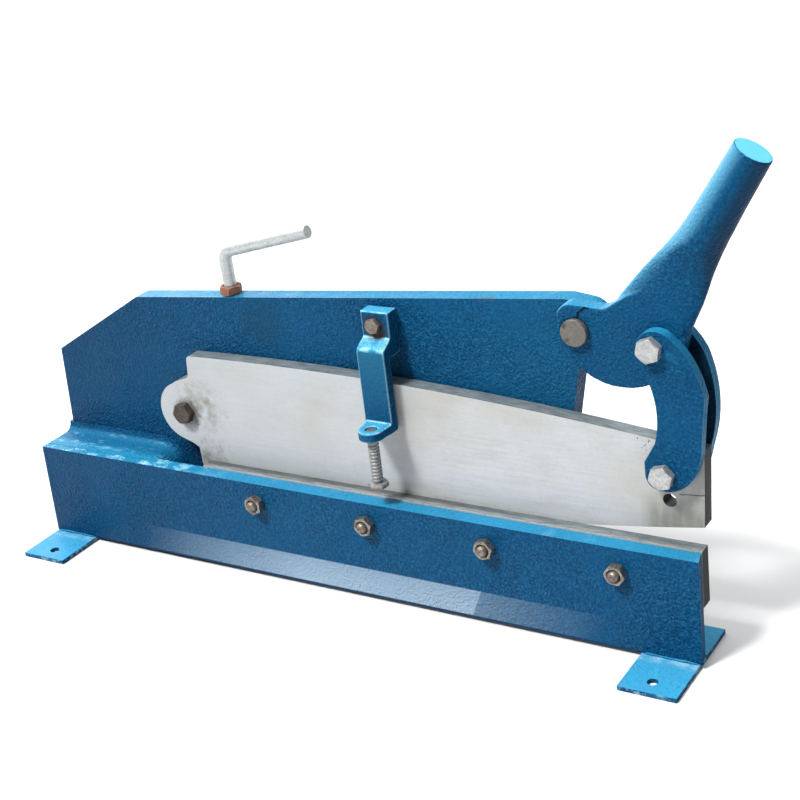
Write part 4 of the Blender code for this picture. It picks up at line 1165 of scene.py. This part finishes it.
def build_lever_pin(look):
    """The headed lever pin with its softened rim."""
    start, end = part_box("lever_pin")
    head = 0.5 * (end.x - start.x)
    length = end.y - start.y

    def section(angle):
        return [
            (0.0, 0.0),
            (head - 1.0 * MM, 0.0),
            (head - 0.35 * MM, 0.25 * MM),
            (head, 0.9 * MM),
            (head, PIN_HEAD - 0.3 * MM),
            (head - 0.3 * MM, PIN_HEAD),
            (PIN_SHANK, PIN_HEAD),
            (PIN_SHANK, length - 1.2 * MM),
            (PIN_SHANK - 1.2 * MM, length),
            (0.0, length),
        ]
    item = spin("lever_pin_finish", section)
    stand(item, on_axis("lever_pin", start.y), REAR)
    dress(item, look["pin"], "lever_pin")


def build_hold_down(look):
    """The hold-down screw: a hexagon head at the foot and a coarse thread up through the ear."""
    start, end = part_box("hold_down_screw")
    flats = end.x - start.x
    foot = Vector((middle("hold_down_screw").x, middle("hold_down_screw").y, start.z))

    def section(angle):
        disc, corner, drop = hex_rim(flats, angle)
        return [
            (0.0, 0.0),
            (disc, 0.0),
            (corner, drop),
            (corner, SCREW_HEAD - 0.5 * drop),
            (disc, SCREW_HEAD),
            (0.0, SCREW_HEAD),
        ]
    item = spin("hold_down_head", section)
    stand(item, foot, UP, SCREW_TURN)
    dress(item, look["screw"], "hold_down_screw")
    thread = thread_mesh("hold_down_thread", end.z - start.z - SCREW_HEAD)
    stand(thread, foot + (SCREW_HEAD - 0.1 * MM) * UP, UP)
    dress(thread, look["screw"], "hold_down_screw", stands_for=False, angle=70.0)


def build_lock_screw(look):
    """The bent locking screw and its rusty nut."""
    rounded("lock_screw", ROD_ROUNDING, look["rod"], 3)
    start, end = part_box("lock_screw_nut")
    seat = Vector((middle("lock_screw_nut").x, middle("lock_screw_nut").y, start.z))
    section = nut_section(end.x - start.x, end.z - start.z, LOCK_NUT_BORE)
    item = spin("lock_screw_nut_finish", section, closed=True)
    stand(item, seat, UP, LOCK_NUT_TURN)
    dress(item, look["rust"], "lock_screw_nut")


def dress_small_parts(look):
    """Materials of the washers, bushes and split pin, which stay as they are."""
    for node in NODES:
        if node.endswith(("washer", "bush", "split_pin")):
            materials = NODES[node].data.materials
            materials.clear()
            materials.append(look[LOOK_OF_SLOT[SLOT_OF[node]]])


# ---- stage


def aimed(name, light, place, direction):
    """Put a light in the scene, shining along a direction."""
    item = add_object(name, light)
    item.location = place
    item.rotation_euler = Vector(direction).to_track_quat("-Z", "Y").to_euler()
    item.visible_camera = False


def sun_light(name, from_side, spread, strength):
    """A soft distant light that comes from one side; spread in degrees."""
    light = bpy.data.lights.new(name, "SUN")
    light.energy = strength
    light.angle = radians(spread)
    aimed(name, light, from_side, -Vector(from_side))


def softbox(name, place, width, height, power):
    """A rectangular area light that looks at the machine."""
    light = bpy.data.lights.new(name, "AREA")
    light.shape = "RECTANGLE"
    light.size = width
    light.size_y = height
    light.energy = power
    aimed(name, light, place, -Vector(place))


def build_stage():
    """A wide pale floor, a dim surround, soft light from above and behind, and a key light."""
    shape = bmesh.new()
    bmesh.ops.create_grid(shape, x_segments=1, y_segments=1, size=FLOOR_REACH)
    floor = link_mesh("floor", shape)
    floor.location.z = -FLOOR_DROP
    shader = Shader("pale_floor")
    tint = shader.ramp(shader.noise(3.0, 2.0, 0.5), 0.3, 0.7)
    shader.feed("Base Color", shader.mix(tint, FLOOR_DARKER, FLOOR_LIGHTER))
    shader.set(Roughness=0.9)
    floor.data.materials.append(shader.material)
    world = bpy.data.worlds.new("studio")
    world.use_nodes = True
    background = world.node_tree.nodes["Background"]
    background.inputs["Color"].default_value = WORLD_COLOUR
    background.inputs["Strength"].default_value = WORLD_STRENGTH
    bpy.context.scene.world = world
    for sun in SUNS:
        sun_light(*sun)
    for box in SOFTBOXES:
        softbox(*box)


def build_camera():
    """Camera that looks down at the machine from the front right."""
    forward = Vector((
        -sin(CAMERA_YAW) * cos(CAMERA_PITCH),
        cos(CAMERA_YAW) * cos(CAMERA_PITCH),
        sin(CAMERA_PITCH),
    ))
    right = Vector((cos(CAMERA_YAW), sin(CAMERA_YAW), 0.0))
    up = right.cross(forward)
    tilt_right = right * cos(CAMERA_ROLL) + up * sin(CAMERA_ROLL)
    tilt_up = up * cos(CAMERA_ROLL) - right * sin(CAMERA_ROLL)
    rotation = Matrix((tilt_right, tilt_up, -forward)).transposed()
    data = bpy.data.cameras.new("camera")
    data.lens = CAMERA_LENS
    data.clip_end = 100.0
    camera = add_object("camera", data)
    camera.matrix_world = Matrix.Translation(CAMERA_PLACE) @ rotation.to_4x4()
    bpy.context.scene.camera = camera


def make_looks():
    """Every material, by the name the pieces ask for."""
    looks = {
        "plate": plate_enamel(),
        "web": web_enamel(),
        "upright": upright_enamel(),
        "beam": beam_enamel(),
        "foot": foot_enamel(),
        "lever": lever_enamel(),
        "bracket": bracket_enamel(),
        "upper_blade": upper_blade_steel(),
        "lower_blade": lower_blade_steel(),
        "pin": pin_metal(),
        "screw": screw_metal(),
    }
    for look, *values in METALS:
        looks[look] = fastener_metal(*values)
    return looks


def build_machine():
    """Finish and dress every piece of the machine."""
    look = make_looks()
    build_plates(look)
    build_welds(look)
    build_clamp_bolts(look)
    build_pivot_fasteners(look)
    build_lever_pin(look)
    build_hold_down(look)
    build_lock_screw(look)
    dress_small_parts(look)


build_stage()
build_camera()
build_machine()
bpy.context.scene.view_settings.view_transform = "Standard"
